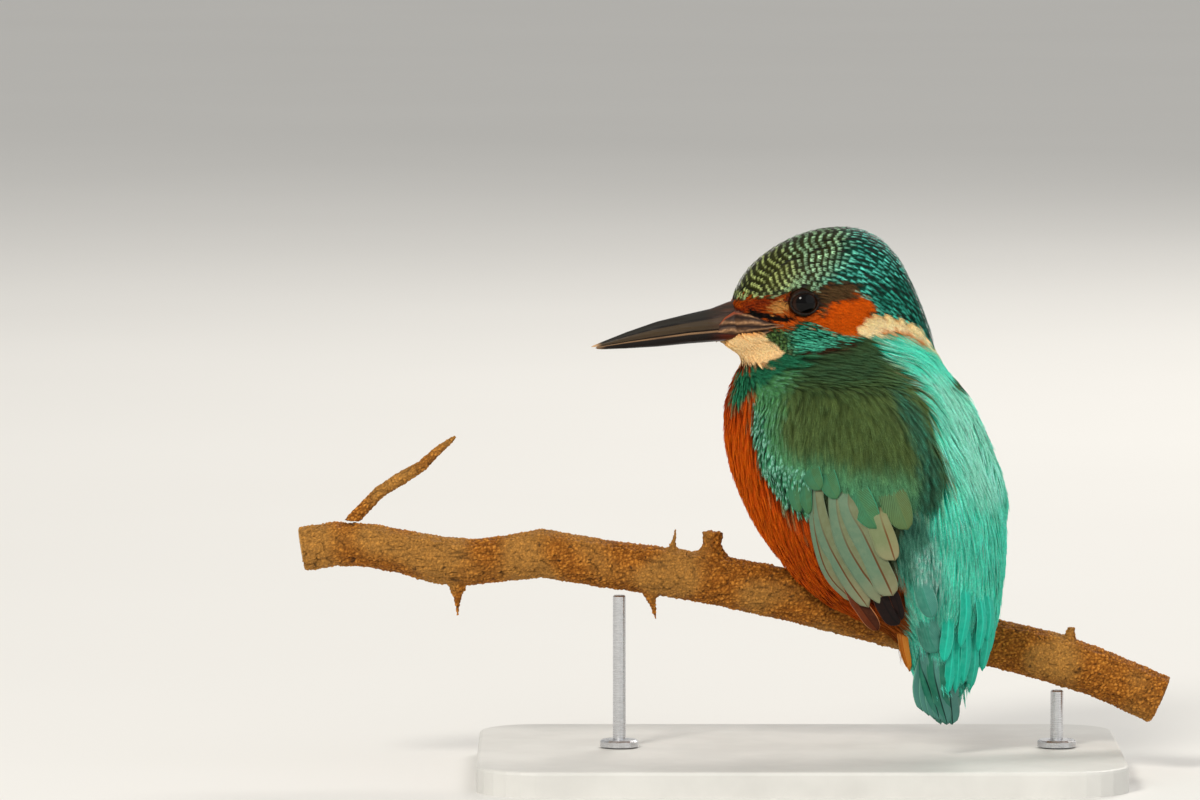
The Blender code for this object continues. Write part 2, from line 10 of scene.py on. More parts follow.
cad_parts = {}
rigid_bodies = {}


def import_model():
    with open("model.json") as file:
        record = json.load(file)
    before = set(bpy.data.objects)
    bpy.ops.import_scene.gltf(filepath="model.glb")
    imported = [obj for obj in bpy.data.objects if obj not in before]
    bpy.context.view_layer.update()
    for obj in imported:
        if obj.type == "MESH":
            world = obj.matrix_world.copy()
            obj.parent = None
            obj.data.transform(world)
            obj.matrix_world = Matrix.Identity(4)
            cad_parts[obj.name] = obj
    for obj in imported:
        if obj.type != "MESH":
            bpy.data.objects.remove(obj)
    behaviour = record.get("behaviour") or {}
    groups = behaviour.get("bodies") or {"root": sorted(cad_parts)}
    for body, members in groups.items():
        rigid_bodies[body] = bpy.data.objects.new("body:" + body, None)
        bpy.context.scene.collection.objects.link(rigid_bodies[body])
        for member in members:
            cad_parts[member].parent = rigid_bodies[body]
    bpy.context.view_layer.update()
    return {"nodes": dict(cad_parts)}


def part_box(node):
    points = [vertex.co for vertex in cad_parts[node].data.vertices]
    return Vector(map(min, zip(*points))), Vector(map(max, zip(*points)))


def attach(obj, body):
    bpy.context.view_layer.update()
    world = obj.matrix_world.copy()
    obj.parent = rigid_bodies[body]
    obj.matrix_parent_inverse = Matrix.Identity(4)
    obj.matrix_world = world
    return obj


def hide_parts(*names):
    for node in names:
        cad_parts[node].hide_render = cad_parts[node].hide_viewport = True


for thing in list(bpy.data.objects):
    bpy.data.objects.remove(thing)
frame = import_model()
mm = 0.001
print("frame loaded")


# small helpers; shapes are worked out in millimetres


def lin(shade):
    # a hex colour as the renderer's linear values
    parts = (shade >> 16, (shade >> 8) & 255, shade & 255)
    return tuple(((c / 255 + 0.055) / 1.055) ** 2.4 if c > 10 else c / 3295 for c in parts)


def unit(vectors):
    return vectors / np.maximum(np.linalg.norm(vectors, axis=-1, keepdims=True), 1e-9)


def ease(low, high, values):
    t = np.clip((np.asarray(values, float) - low) / (high - low), 0, 1)
    return t * t * (3 - 2 * t)


def dots(a, b):
    return (a * b).sum(-1)


def pairs(numbers):
    return np.array(numbers, float).reshape(-1, 2)


def middleOf(node):
    low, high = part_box(node)
    return np.array((low + high) / 2) / mm


def curve(points, shares):
    # points along a smooth line through a few given ones
    keys = np.linspace(0, 1, len(points))
    slopes = np.gradient(points, keys, axis=0)
    low = np.clip(np.searchsorted(keys, shares, side="right") - 1, 0, len(keys) - 2)
    span = keys[1] - keys[0]
    t = ((shares - keys[low]) / span)[:, None]
    made = points[low] * (1 + 2 * t) * (1 - t) ** 2 + slopes[low] * span * t * (1 - t) ** 2
    return made + points[low + 1] * t * t * (3 - 2 * t) + slopes[low + 1] * span * t * t * (t - 1)


def newObject(name, data):
    made = bpy.data.objects.new(name, data)
    bpy.context.scene.collection.objects.link(made)
    return made


def addPiece(name, mesh, finish, slot, replaced=(), smooth=True, thickness=0):
    piece = newObject(name, mesh)
    mesh.materials.clear()
    mesh.materials.append(finish)
    mesh.polygons.foreach_set("use_smooth", [smooth] * len(mesh.polygons))
    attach(piece, "root")
    if replaced:
        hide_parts(*replaced)
    if thickness:
        solid = piece.modifiers.new("thickness", "SOLIDIFY")
        solid.thickness, solid.offset = thickness, -1


def meshOf(name, bm, scale=mm):
    bmesh.ops.scale(bm, verts=bm.verts, vec=(scale, scale, scale))
    mesh = bpy.data.meshes.new(name)
    bm.to_mesh(mesh)
    bm.free()
    return mesh


def grid(columns, rows, place, closed=False):
    # a sheet of faces, each corner set by its shares across and along
    bm = bmesh.new()
    layer = bm.loops.layers.uv.new("vane")
    bmesh.ops.create_grid(bm, x_segments=columns, y_segments=rows, size=0.5, calc_uvs=True)
    shares = [(vert.co.x + 0.5, vert.co.y + 0.5) for vert in bm.verts]
    for face in bm.faces:
        for loop in face.loops:
            loop[layer].uv = (loop.vert.co.x + 0.5, loop.vert.co.y + 0.5)
    for vert, (u, v) in zip(bm.verts, shares):
        vert.co = Vector(place(u, v))
    if closed:
        bmesh.ops.remove_doubles(bm, verts=bm.verts, dist=1e-4)
        bmesh.ops.recalc_face_normals(bm, faces=bm.faces)
    return bm


def gather(forms, mapped=False):
    # several bmeshes as one
    whole = bmesh.new()
    if mapped:
        whole.loops.layers.uv.new("vane")
    for form in forms:
        carrier = meshOf("carrier", form, 1)
        whole.from_mesh(carrier)
        bpy.data.meshes.remove(carrier)
    return whole


def cadCopy(node):
    # a merged copy of a CAD node
    bm = bmesh.new()
    bm.from_mesh(frame["nodes"][node].data)
    bmesh.ops.scale(bm, verts=bm.verts, vec=(1000, 1000, 1000))
    bmesh.ops.remove_doubles(bm, verts=bm.verts, dist=1e-3)
    bm.normal_update()
    return bm


def smoothed(bm, times=1, verts=None):
    for _ in range(times):
        bmesh.ops.smooth_vert(bm, verts=verts or bm.verts, factor=0.5, use_axis_x=True, use_axis_y=True,
                              use_axis_z=True)
    bm.normal_update()


def remeshed(name, bm, voxel):
    # one closed shell round everything in the bmesh
    form = newObject(name, meshOf(name, bm, 1))
    remesh = form.modifiers.new("one", "REMESH")
    remesh.mode, remesh.voxel_size = "VOXEL", voxel
    bpy.context.view_layer.update()
    mesh = bpy.data.meshes.new_from_object(form.evaluated_get(bpy.context.evaluated_depsgraph_get()))
    bpy.data.objects.remove(form)
    bm = bmesh.new()
    bm.from_mesh(mesh)
    return mesh, bm


def moveCorners(mesh, points):
    mesh.vertices.foreach_set("co", (points * mm).astype(np.float32).ravel())


def tintCorners(mesh, shades, name="tint"):
    # a colour or a colour and a share for each corner
    if shades.shape[-1] == 3:
        shades = np.concatenate([shades, np.ones((*shades.shape[:-1], 1))], -1)
    layer = mesh.color_attributes.new(name, "FLOAT_COLOR", "POINT")
    layer.data.foreach_set("color", shades.ravel())


# camera, lights and floor

viewSet = {"lens": 300, "sensor": 36, "clip": (0.05, 60), "lift": math.radians(4.5), "reach": 2.3256,
           "aim": (-0.0465, 0, 0.08727)}
lightAim = (0, 0, 0.08)
lightSet = {
    "key": ((-0.75, -1.45, 1.25), 0.5, 22, (1.0, 0.96, 0.88)),
    "fill": ((1.5, -1.2, 0.8), 2.6, 10, (0.97, 0.98, 1.0)),
    "rim": ((0.6, 1.4, 1.3), 0.9, 14, (1.0, 0.96, 0.9)),
}
skySet = {"Color": (0.83, 0.82, 0.79, 1), "Strength": 0.62}


def pointed(holder, place, way):
    holder.location = place
    holder.rotation_euler = way.to_track_quat("-Z", "Y").to_euler()


def makeView():
    eye = bpy.data.cameras.new("view")
    eye.lens, eye.sensor_width = viewSet["lens"], viewSet["sensor"]
    eye.clip_start, eye.clip_end = viewSet["clip"]
    holder = newObject("view", eye)
    back = Vector((0, -math.cos(viewSet["lift"]), math.sin(viewSet["lift"])))
    pointed(holder, Vector(viewSet["aim"]) + back * viewSet["reach"], -back)
    bpy.context.scene.camera = holder
    bpy.context.scene.view_settings.view_transform = "Standard"


def makeLights():
    for name, (place, size, power, shade) in lightSet.items():
        lamp = bpy.data.lights.new(name, "AREA")
        lamp.shape, lamp.size, lamp.energy, lamp.color = "DISK", size, power, shade
        pointed(newObject(name, lamp), place, Vector(lightAim) - Vector(place))
    sky = bpy.data.worlds.new("sky")
    sky.use_nodes = True
    for name, value in skySet.items():
        sky.node_tree.nodes["Background"].inputs[name].default_value = value
    bpy.context.scene.world = sky


# materials: a socket with arithmetic


class Wire:
    def __init__(self, tree, socket=None):
        self.tree, self.socket = tree, socket

    def node(self, kind, settings=None, inputs=None, output=0):
        made = self.tree.nodes.new(kind)
        for name, value in (settings or {}).items():
            setattr(made, name, value)
        for key, value in (inputs or {}).items():
            if isinstance(value, Wire):
                self.tree.links.new(value.socket, made.inputs[key])
            else:
                made.inputs[key].default_value = value
        return Wire(self.tree, made.outputs[output])

    def sum(self, operation, first, second=0.0):
        return self.node("ShaderNodeMath", {"operation": operation}, {0: first, 1: second})

    def vector(self, operation, inputs, output=0):
        return self.node("ShaderNodeVectorMath", {"operation": operation}, inputs, output)

    def __add__(self, other):
        return self.sum("ADD", self, other)

    def __sub__(self, other):
        return self.sum("SUBTRACT", self, other)

    def __rsub__(self, other):
        return self.sum("SUBTRACT", other, self)

    def __mul__(self, other):
        return self.sum("MULTIPLY", self, other)

    def __abs__(self):
        return self.sum("ABSOLUTE", self)

    __radd__ = __add__
    __rmul__ = __mul__

    def band(self, low, high, bottom=0.0, top=1.0):
        # a smooth rise from bottom to top between two values
        settings = {"interpolation_type": "SMOOTHSTEP"}
        return self.node("ShaderNodeMapRange", settings, {0: self, 1: low, 2: high, 3: bottom, 4: top})

    def blend(self, first, second):
        # this value picks between two colours, each a socket, a hex colour or linear values
        inputs = {0: self}
        for key, shade in ((6, first), (7, second)):
            shade = lin(shade) if isinstance(shade, int) else shade
            inputs[key] = (*shade, 1) if isinstance(shade, tuple) else shade
        return self.node("ShaderNodeMix", {"data_type": "RGBA"}, inputs, 2)

    def speck(self, scale, detail=3.0, rough=0.55, stretch=None):
        # noise on the object's own coordinates, in metres
        place = self.node("ShaderNodeTexCoord", output=3)
        if stretch:
            place = self.node("ShaderNodeMapping", {}, {"Vector": place, "Scale": stretch})
        inputs = {"Vector": place, "Scale": scale, "Detail": detail, "Roughness": rough}
        return self.node("ShaderNodeTexNoise", {}, inputs)

    def mark(self, name, output=0):
        return self.node("ShaderNodeAttribute", {"attribute_name": name}, output=output)

    def across(self, axis=0):
        # place on the piece's own map: across it, or along it with axis 1
        place = self.node("ShaderNodeUVMap", {"uv_map": "vane"})
        return self.node("ShaderNodeSeparateXYZ", {}, {0: place}, axis)

    def bump(self, height, depth, strength=1.0):
        inputs = {"Strength": strength, "Distance": depth, "Height": height}
        self.node("ShaderNodeBump", {}, inputs).feed("Normal")

    def feed(self, name="Base Color"):
        self.tree.links.new(self.socket, self.tree.nodes["Principled BSDF"].inputs[name])


def newFinish(name, **fixed):
    made = bpy.data.materials.new(name)
    made.use_nodes = True
    for socket, value in fixed.items():
        made.node_tree.nodes["Principled BSDF"].inputs[socket.replace("_", " ")].default_value = value
    return made, Wire(made.node_tree)


def makeFloor():
    finish, wire = newFinish("floor", Roughness=0.85)
    wire.speck(3, 2).blend((0.80, 0.79, 0.77), (0.84, 0.83, 0.81)).feed()
    form = grid(4, 4, lambda u, v: ((u - 0.5) * 14, (v - 0.5) * 14, 0))
    floor = newObject("floor", meshOf("floor", form, 1))
    floor.data.materials.append(finish)


makeView()
makeLights()
makeFloor()
print("view, lights and floor set")


# the bird's own directions, and the mirror that folds its right half onto its left

poseSet = {"bodyMiddle": (23, -12.3, 0), "bodyRight": (0.616, 0.788, 0), "headMiddle": (8, 2.5, 0),
           "headRight": (-0.1392, 0.9903, 0), "headForward": (-0.9903, -0.1392, 0), "neck": (91, 99),
           "lean": 0.0787, "stripe": 10.5, "stripeEnds": (8, 26)}
bodyMiddle, bodyRight, headMiddle, headRight, headForward, *_ = map(np.array, poseSet.values())
eyeLeft = middleOf("eye_left")
eyeRight = middleOf("eye_right")


def folded(points):
    # each point of the right half mirrored to the left, with the mirror's direction or zeros
    share = ease(*poseSet["neck"], points[:, 2])[:, None]
    bodyOff = np.maximum(dots(points - bodyMiddle, bodyRight), 0)[:, None]
    headOff = np.maximum(dots(points - headMiddle, headRight), 0)[:, None]
    moved = points - 2 * (bodyOff * bodyRight * (1 - share) + headOff * headRight * share)
    way = unit(bodyRight * (1 - share) + headRight * share)
    return moved, way * ((bodyOff * (1 - share) + headOff * share) > 0)


def seen(points):
    # place in the side view: along X, and height with the view's slight lean
    moved, _ = folded(points)
    past = dots(points - bodyMiddle, bodyRight)
    behind = dots(points - bodyMiddle, np.array((bodyRight[1], -bodyRight[0], 0)))
    body = 1 - ease(*poseSet["neck"], points[:, 2])
    stripe = poseSet["stripe"] * (past > 0) * ease(0, 8, behind)
    stripe = stripe * (1 - ease(*poseSet["stripeEnds"], past)) * body
    return np.stack([moved[:, 0] + stripe, moved[:, 2] + poseSet["lean"] * moved[:, 1]], 1)


eyeSeen = seen(eyeLeft[None])[0]


def gapTo(places, corners, loop):
    # distance from each place to a line of points, and whether it is inside the loop
    ends = np.roll(corners, -1, 0) if loop else corners[1:]
    best = np.full(len(places), 1e9)
    inside = np.zeros(len(places), bool)
    for a, b in zip(corners, ends):
        way = b - a
        t = np.clip(((places - a) @ way) / (way @ way), 0, 1)
        best = np.minimum(best, np.linalg.norm(places - a - t[:, None] * way, axis=1))
        if loop and a[1] != b[1]:
            crosses = (a[1] > places[:, 1]) != (b[1] > places[:, 1])
            at = a[0] + (places[:, 1] - a[1]) * way[0] / way[1]
            inside ^= crosses & (places[:, 0] < at)
    return best, inside


def markOf(places, zone):
    # how much of a marking each place has, from 0 to 1
    soft = zone["soft"]
    local = places - eyeSeen if zone["head"] else places
    gap, inside = gapTo(local, zone["places"], not zone["half"])
    if zone["half"]:
        return 1 - ease(zone["half"] - soft, zone["half"] + soft, gap)
    mark = ease(-soft, soft, np.where(inside, gap, -gap))
    return mark * markOf(places, plumage[zone["within"]]) if zone["within"] else mark


# plumage: each marking's kind of feather, their length, width and gap, the coat's depth, colours from
# root to tip, the dark root colour being painted shade where the feathers overlap, and of the pale fleck,
# the fleck's strength, the edge's softness, and places in the side view, measured from the eye on the head;
# half makes them a line of that half width; later ones lie on top

# dark is each feather's root colour: painted shade where the feathers overlap
colourKeys = ("dark", "mid", "tip", "fleck")


def marking(kind, size, lift, shades, amount, soft=0.5, places=(), calm=1, head=False, half=0, within=None):
    made = {key: np.array(lin(shade)) for key, shade in zip(colourKeys, shades)}
    made.update(kind=kind, size=np.array(size, float), lift=lift, amount=amount, calm=calm, soft=soft,
                places=pairs(places), head=head, half=half, within=within)
    return made


plumage = {
    "breast": marking("soft", (8, 2, 1.35), 1.5, (0x8C2E00, 0xBE4800, 0xCE5600, 0xEE8618), 0.5, calm=0.75),
    "breastTop": marking("soft", (6, 1.7, 1.2), 1.3, (0x320800, 0x963000, 0xB03E02, 0xD66010), 0.4, 3,
        (-24, 100, -9, 100, -9, 94, -15, 84, -24, 84)),
    "cheek": marking("soft", (2.4, 0.7, 0.6), 0.5, (0x5A1E02, 0xBA4E08, 0xD26010, 0xE67822), 0.3, 0.8,
        (-20, 3, -20, -9, -9, -13, 4, -13, 14, -10, 20, -6, 20, 4, 6, 6, -6, 4), head=True),
    "lowBelly": marking("soft", (8, 2, 1.5), 1.5, (0x682200, 0x9A3700, 0xB84802, 0xE67A14), 0.5, 9,
        (-30, 54, 0, 52, 12, 45, 26, 40, 26, 0, -30, 0)),
    # painted shadow: the orange undertail is darkened as if in the shadow under the body
    "undertail": marking("soft", (8, 2.4, 1.5), 1.3, (0x4C1E00, 0x843C06, 0x96480C, 0xBE6E24), 0.4, 2,
        (20, 46, 26, 46, 27, 20, 22, 18, 14, 32)),
    "back": marking("silk", (11, 1.5, 1.2), 1.5, (0x008468, 0x2CDAB8, 0x6EF6DC, 0xD8FFF0), 0.6, 0.8,
        (15.5, 103, 20.5, 96.5, 29.5, 86.7, 30.5, 80.9, 32.6, 72.6, 33.4, 67.7, 31, 60.9, 27, 59,
         22.6, 57.2, 21.8, 47.9, 24, 44.4, 24.9, 35, 25.4, 24, 26.2, 14, 60, 10, 60, 96, 34, 106),
         calm=0.8),
    "backPale": marking("silk", (11, 1.5, 1.2), 1.5, (0x28A688, 0x76E8CA, 0xB2FAE6, 0xECFFF8), 0.6, 5,
        (30, 92, 46, 92, 60, 80, 60, 62, 46, 62, 36, 66), calm=0.8, within="back"),
    "backLeft": marking("silk", (6, 1.2, 1), 1.3, (0x183C32, 0x36705C, 0x4A8E76, 0x82BEA8), 0.5, 2.4,
        (20, 60, 28, 62, 31, 54, 28, 47, 22, 43), within="back"),
    "tuft": marking("soft", (4, 0.8, 0.9), 1.5, (0x328C76, 0x68C4AE, 0xBEE8DC, 0xFAFFFC), 0.8, 1.4,
        (25.6, 51.5, 30, 52.5, 32.4, 47, 31.6, 42.6, 28.4, 43.6, 26, 47), within="back"),
    "underWing": marking("web", (5, 1.8, 1.25), 0.7, (0x223022, 0x4C5C3E, 0x5C6C4A, 0x6E7E5A), 0.2, 0.4,
        (-1.5, 64, 2.3, 62, 3.3, 55, 5.8, 48.6, 10.5, 42, 20.5, 42.5, 22, 50, 23.6, 57.2, 27, 59.5, 26, 68,
         8, 72, -2, 68), calm=0.6),
    "wing": marking("web", (8.5, 2.3, 1.4), 1, (0x2C3C1C, 0x546636, 0x5C7642, 0x7A9C64), 0.4, 0.6,
        (-3.7, 95.5, -9.5, 91, -10.9, 85.3, -10.6, 76.5, -8.6, 69.4, -6.4, 66.6, -2.4, 61.6, 0.8, 59.6,
         2.2, 60.5, 2.8, 66.4, 7.9, 64.6, 11.5, 63, 15, 61, 18.6, 60.5, 22, 60.5, 25.4, 60.4, 26.6, 59,
         31, 60.9, 33.4, 67.7, 32.6, 72.6, 30.5, 80.9, 29.5, 86.7, 20.5, 96.5, 15.5, 103, 11.6, 103,
         4.7, 99.6, 0, 98.6), calm=0.7),
    "wingTop": marking("web", (7.5, 2, 1.3), 1, (0x1C2E1A, 0x36502E, 0x3C603E, 0x5A8C64), 0.4, 4,
        (-6, 99, 14, 105, 22, 98, 20, 90, 8, 89, -4, 90), calm=0.6, within="wing"),
    "wingLow": marking("lobe", (9, 3.2, 1.8), 1, (0x2C5838, 0x548E62, 0x5CA67C, 0x82C89E), 0.4, 3.5,
        (-12, 76, 2, 73, 12, 70, 24, 69, 30, 64, 30, 50, 0, 50, -14, 60), calm=0.7, within="wing"),
    "wingFront": marking("web", (5, 1.8, 1.25), 1, (0x2C5C38, 0x52925A, 0x62AA78, 0xA6E4CC), 0.6, 2.2,
        (-3.7, 96, -12, 92, -14, 76, -10, 66, 0, 60, 3, 64, -3, 70, -5, 80, -2, 92), calm=0.8,
         within="wing"),
    "wingSpots": marking("scale", (3.4, 1.15, 1.5), 1.1, (0x1E5A3E, 0x3E8E64, 0x429670, 0xA0E2CC), 0.75, 1.2,
        (-11.5, 82, -8.6, 84, -7.4, 76, -4, 70, 0, 67.5, 4, 67.5, 4, 62, -2, 58, -9, 64, -13, 76),
         within="wing"),
    "darkBand": marking("web", (8, 1.8, 1.2), 1.2, (0x182C20, 0x345C44, 0x387A60, 0x50B092), 0.5, 1.6,
        (22, 92, 27.5, 84, 30.6, 74.2, 32.6, 67.2, 31, 60.2, 27.4, 57, 25, 57.9, 27, 66, 26, 76, 22, 86),
         within="wing"),
    "wedge": marking("soft", (4.6, 1.4, 1), 1.3, (0x0C422C, 0x247450, 0x328C66, 0x5AC49E), 0.4, 0.5,
        (-10.3, 95.2, -7.2, 95.4, -3.4, 98, 3, 98.2, 2, 95, -2, 94, -8.1, 90.6, -10.5, 88.6, -13.5, 85.8,
         -15.4, 84.6, -15.2, 88.1, -14.2, 91.7), calm=0.8),
    "crown": marking("streak", (3.8, 1, 0.92), 0.6, (0x042820, 0x0A4A3A, 0x083A2E, 0x60DAC4), 1, 0.4,
        (-19, 0.6, -13.2, 1.2, -9.3, 1.4, -4.3, 1.6, -2.7, 2.4, 0, 3, 2.6, 2.9, 6.2, 4.4, 10, 4.6, 13, 2.4,
         15.1, 0.8, 16.6, -2.6, 17.6, -3.3, 21.3, -3.8, 25.6, -5.7, 29.8, -10.6, 31, -13, 44, -8, 44, 34,
         -22, 34), calm=0.5, head=True),
    "forehead": marking("scale", (3.4, 1.25, 0.8), 0.6, (0x181808, 0x303214, 0x22200C, 0xAAD6A6), 1, 3.5,
        (-24, -2, -4, 1.5, 4, 2, 8, 8, 11, 14, 9, 28, -24, 28), calm=0.3, head=True, within="crown"),
    "brow": marking("scale", (2.8, 1.05, 0.62), 0.55, (0x1A1A04, 0x36380E, 0x242206, 0xBECC7C), 1, 3,
        (-24, -2, -4, 1.5, -1, 8, -9, 18, -24, 18), calm=0.3, head=True, within="crown"),
    "nape": marking("streak", (4.2, 1, 1), 0.6, (0x02221C, 0x064234, 0x084638, 0x3CBEA4), 0.6, 3,
        (15, 3, 22, 6, 30, 12, 44, 4, 40, -14, 28, -14, 24, -4, 16, -2), calm=0.6, head=True,
         within="crown"),
    "eyeRing": marking("soft", (1.5, 0.6, 0.5), 0.3, (0x080503, 0x160F09, 0x1E160C, 0x3C2C1A), 0.2, 0.35,
        (-0.1, 0, 0.4, 0), head=True, half=3.5),
    # painted shadow: a dark line between the malar stripe and the wing
    "collar": marking("soft", (3.4, 1.2, 0.9), 0.7, (0x140A06, 0x3E1E0E, 0x362816, 0x3C5032), 0.2, 0.5,
        (0, -12.2, 4.3, -12.2, 8.1, -11.2, 12, -10), head=True, half=0.7),
    "browPatch": marking("soft", (3.4, 0.7, 0.7), 0.45, (0x1A120A, 0x543E24, 0x6E5A3C, 0x965C3A), 0.6, 0.5,
        (2.3, 1.5, 2.9, 3, 6.2, 4.4, 10, 4.8, 14, 4.2, 12.4, 1.8, 15.1, 0.7, 9.3, 0.3, 6.2, -1.6, 2.9, -3.2,
         3.4, -0.8), head=True),
    "ear": marking("plush", (3.4, 1.2, 0.8), 0.8, (0x8C2C00, 0xCE5200, 0xDC5C02, 0xE87610), 0.3, 0.3,
        (2.3, -3.5, 6.2, -1.55, 9.3, 0.2, 15.1, 0.6, 17.2, -1.9, 15.1, -3.1, 13.6, -5, 12.4, -7.4, 7.75, -7,
         5.8, -5.6, 2.3, -4.65), calm=0.5, head=True),
    "neckPatch": marking("plush", (4.2, 1.5, 0.85), 1.2, (0xFFC478, 0xFFE2A6, 0xFFECBA, 0xFFF6DC), 0.4, 0.3,
        (12.4, -7.6, 13.6, -5.6, 15.5, -3.9, 17.6, -3.5, 21.3, -4, 25.6, -5.9, 27.7, -8, 29.6, -11.4,
         30.4, -13.4, 28.2, -10.6, 25.6, -8.8, 21.7, -7.3, 17.8, -7.8), calm=0.25, head=True),
    "neckShade": marking("plush", (3, 1, 0.7), 1.2, (0x963C06, 0xCE742A, 0xDE8C46, 0xF0B46E), 0.3, 0.5,
        (18.6, -7.4, 21.4, -6.8, 24.6, -7.9, 26.6, -9.6), calm=0.4, head=True, half=0.5),
    "throat": marking("plush", (2.9, 1.2, 0.72), 0.8, (0xFFBC6E, 0xFFD696, 0xFFE0AA, 0xFFECC4), 0.4, 0.3,
        (-24, -7, -15.9, -7, -9.6, -6.9, -6.4, -9.3, -4.2, -11.8, -4.65, -12.8, -8.1, -14.4, -11.2, -14.3,
         -14, -13.4, -17.4, -12.5, -24, -13), calm=0.25, head=True),
    "malar": marking("streak", (4.2, 0.7, 0.95), 0.8, (0x042A1C, 0x0C543C, 0x0E5840, 0x54CCA8), 0.9, 0.3,
        (-9.7, -6.6, -3.9, -6.2, -0.8, -5, 3.9, -5, 7, -6.6, 7.75, -7.6, 15.1, -7.9, 15.1, -8.9, 10, -9.9,
         6.2, -11.1, 2.3, -12.1, -0.8, -12.2, -4.2, -11.8, -6.4, -9.6), calm=0.5, head=True),
    "malarFront": marking("scale", (2.6, 0.9, 0.7), 0.6, (0x141808, 0x28381A, 0x182412, 0x688C4A), 0.8, 1.6,
        (-12, -4, -5, -5, -3, -9, -2, -13, -10, -13), head=True, within="malar"),
    "lores": marking("soft", (2, 0.6, 0.5), 0.35, (0x360A02, 0x963206, 0xBA4A0E, 0xE2701E), 0.4, 0.3,
        (-15.9, -1.6, -13.2, 0.4, -9.3, 1.2, -4.3, 1.2, -3.9, 0.4, -7.4, -0.4, -8.1, -1.6, -12.4, -2.7,
         -15.1, -2.3), head=True),
    "buffSpot": marking("soft", (1.6, 0.5, 0.45), 0.35, (0x8C5422, 0xD6964A, 0xECB468, 0xF4C882), 0.4, 0.25,
        (-7.75, -1.6, -7, 0, -5.4, 0.6, -3.9, -0.2, -3.5, -1.6, -4.65, -2.6, -6.6, -2.6), head=True),
    "mask": marking("soft", (1.6, 0.5, 0.45), 0.3, (0x060403, 0x0E0906, 0x140C08, 0x22160E), 0.1, 0.2,
        (-12.1, -2.3, -9, -3.2, -6.4, -3.8, -3.2, -3.8, -0.5, -3.4, 1.9, -2.6), head=True, half=0.78),
    "underEye": marking("soft", (2.4, 0.55, 0.45), 0.35, (0xA03806, 0xDE6012, 0xEC7822, 0xFAAA5A), 0.4, 0.2,
        (-12.4, -5.4, -8.1, -5.3, -3.9, -5.2, -0.8, -4.4, 3.1, -3.4, 6.2, -1.9), head=True, half=0.62),
}
bareSet = {"eye": (3.05, 2.5),
           "gape": pairs((-19, -1.6, -16, -1.9, -12.6, -2.7, -9.8, -3.9, -7.4, -4.6, -9, -6.6, -19, -7))}
mixedKeys = (*colourKeys, "size", "amount", "lift", "calm")
orangeZones = ["breast", "breastTop", "cheek", "neckShade", "lowBelly", "undertail", "ear", "neckPatch",
               "throat", "lores", "buffSpot", "underEye"]
crownZones = ["crown", "forehead", "brow", "nape"]


def paintOf(points, seed=3, rough=0.35):
    # every place's colours, feather sizes and marking, shifted a little so that no marking has a ruled edge
    places = seen(points) + np.random.default_rng(seed).normal(0, rough, (len(points), 2))
    count, base = len(points), plumage["breast"]
    made = {key: np.tile(np.array(base[key], float, ndmin=1), (count, 1)) for key in mixedKeys}
    kind = np.full(count, "breast", dtype=object)
    for name, zone in list(plumage.items())[1:]:
        mark = markOf(places, zone)
        for key in mixedKeys:
            made[key] += (zone[key] - made[key]) * mark[:, None]
        kind[mark > 0.5] = name
    for key in ("amount", "lift", "calm"):
        made[key] = made[key][:, 0]
    local = seen(points) - eyeSeen
    made["bare"] = (np.hypot(*(local / bareSet["eye"]).T) < 1) | gapTo(local, bareSet["gape"], True)[1]
    made["zone"] = kind
    return made


# the lie of the coat: places and the directions there, blended between them

flowSet = np.array([
    (-15, 0, 112, 0.6, 0, 0.8), (-5, 2, 123, 0.95, 0, 0.3), (9, 2.5, 127, 1, 0, 0),
    (22, 3, 121, 0.5, 0, -0.87), (29, 5, 108, 0.3, 0, -0.95), (-10, -10, 108, 1, 0, 0),
    (-17, -1, 99, 1, 0, -0.5), (-14, 0, 96, 0.7, 0, -0.7), (5, -12, 106, 1, 0, -0.1),
    (15, -11, 105, 1, 0, -0.25), (22, -9, 108, 0.8, 0, -0.6), (-10, 0, 98, 0.8, 0, -0.6),
    (0, -10, 100, 1, 0, -0.12), (20, -8, 98, 0.75, 0, -0.6), (-17, 0, 88, 0.1, 0, -1),
    (-18, 3, 80, 0.3, -0.2, -1), (0, 0, 50, 0.6, -0.45, -0.65), (-5, -22, 60, 0.45, -0.1, -0.9),
    (-6, -24, 88, -0.35, -0.2, -0.9), (10, -28, 85, 0.15, 0, -1), (22, -28, 80, 0.35, 0, -0.95),
    (-6, -28, 72, 0.2, 0, -1), (10, -33, 65, 0.25, 0, -1), (28, -28, 68, 0.1, 0, -1),
    (33, -15, 92, 0.45, 0, -0.9), (40, -15, 80, 0.2, 0, -1), (44, -20, 62, 0.05, 0, -1),
    (42, -25, 50, -0.1, 0, -1), (36, -20, 30, -0.12, 0, -1), (34, -18, 20, 0, 0, -1),
    (15, -15, 40, 0.75, -0.3, -0.55), (-14, -8, 70, 0.35, -0.1, -0.9),
])
lieSet = {"reach": 10.0, "parting": (3.2, 7.0), "headHeight": 9, "tail": (27, 36)}


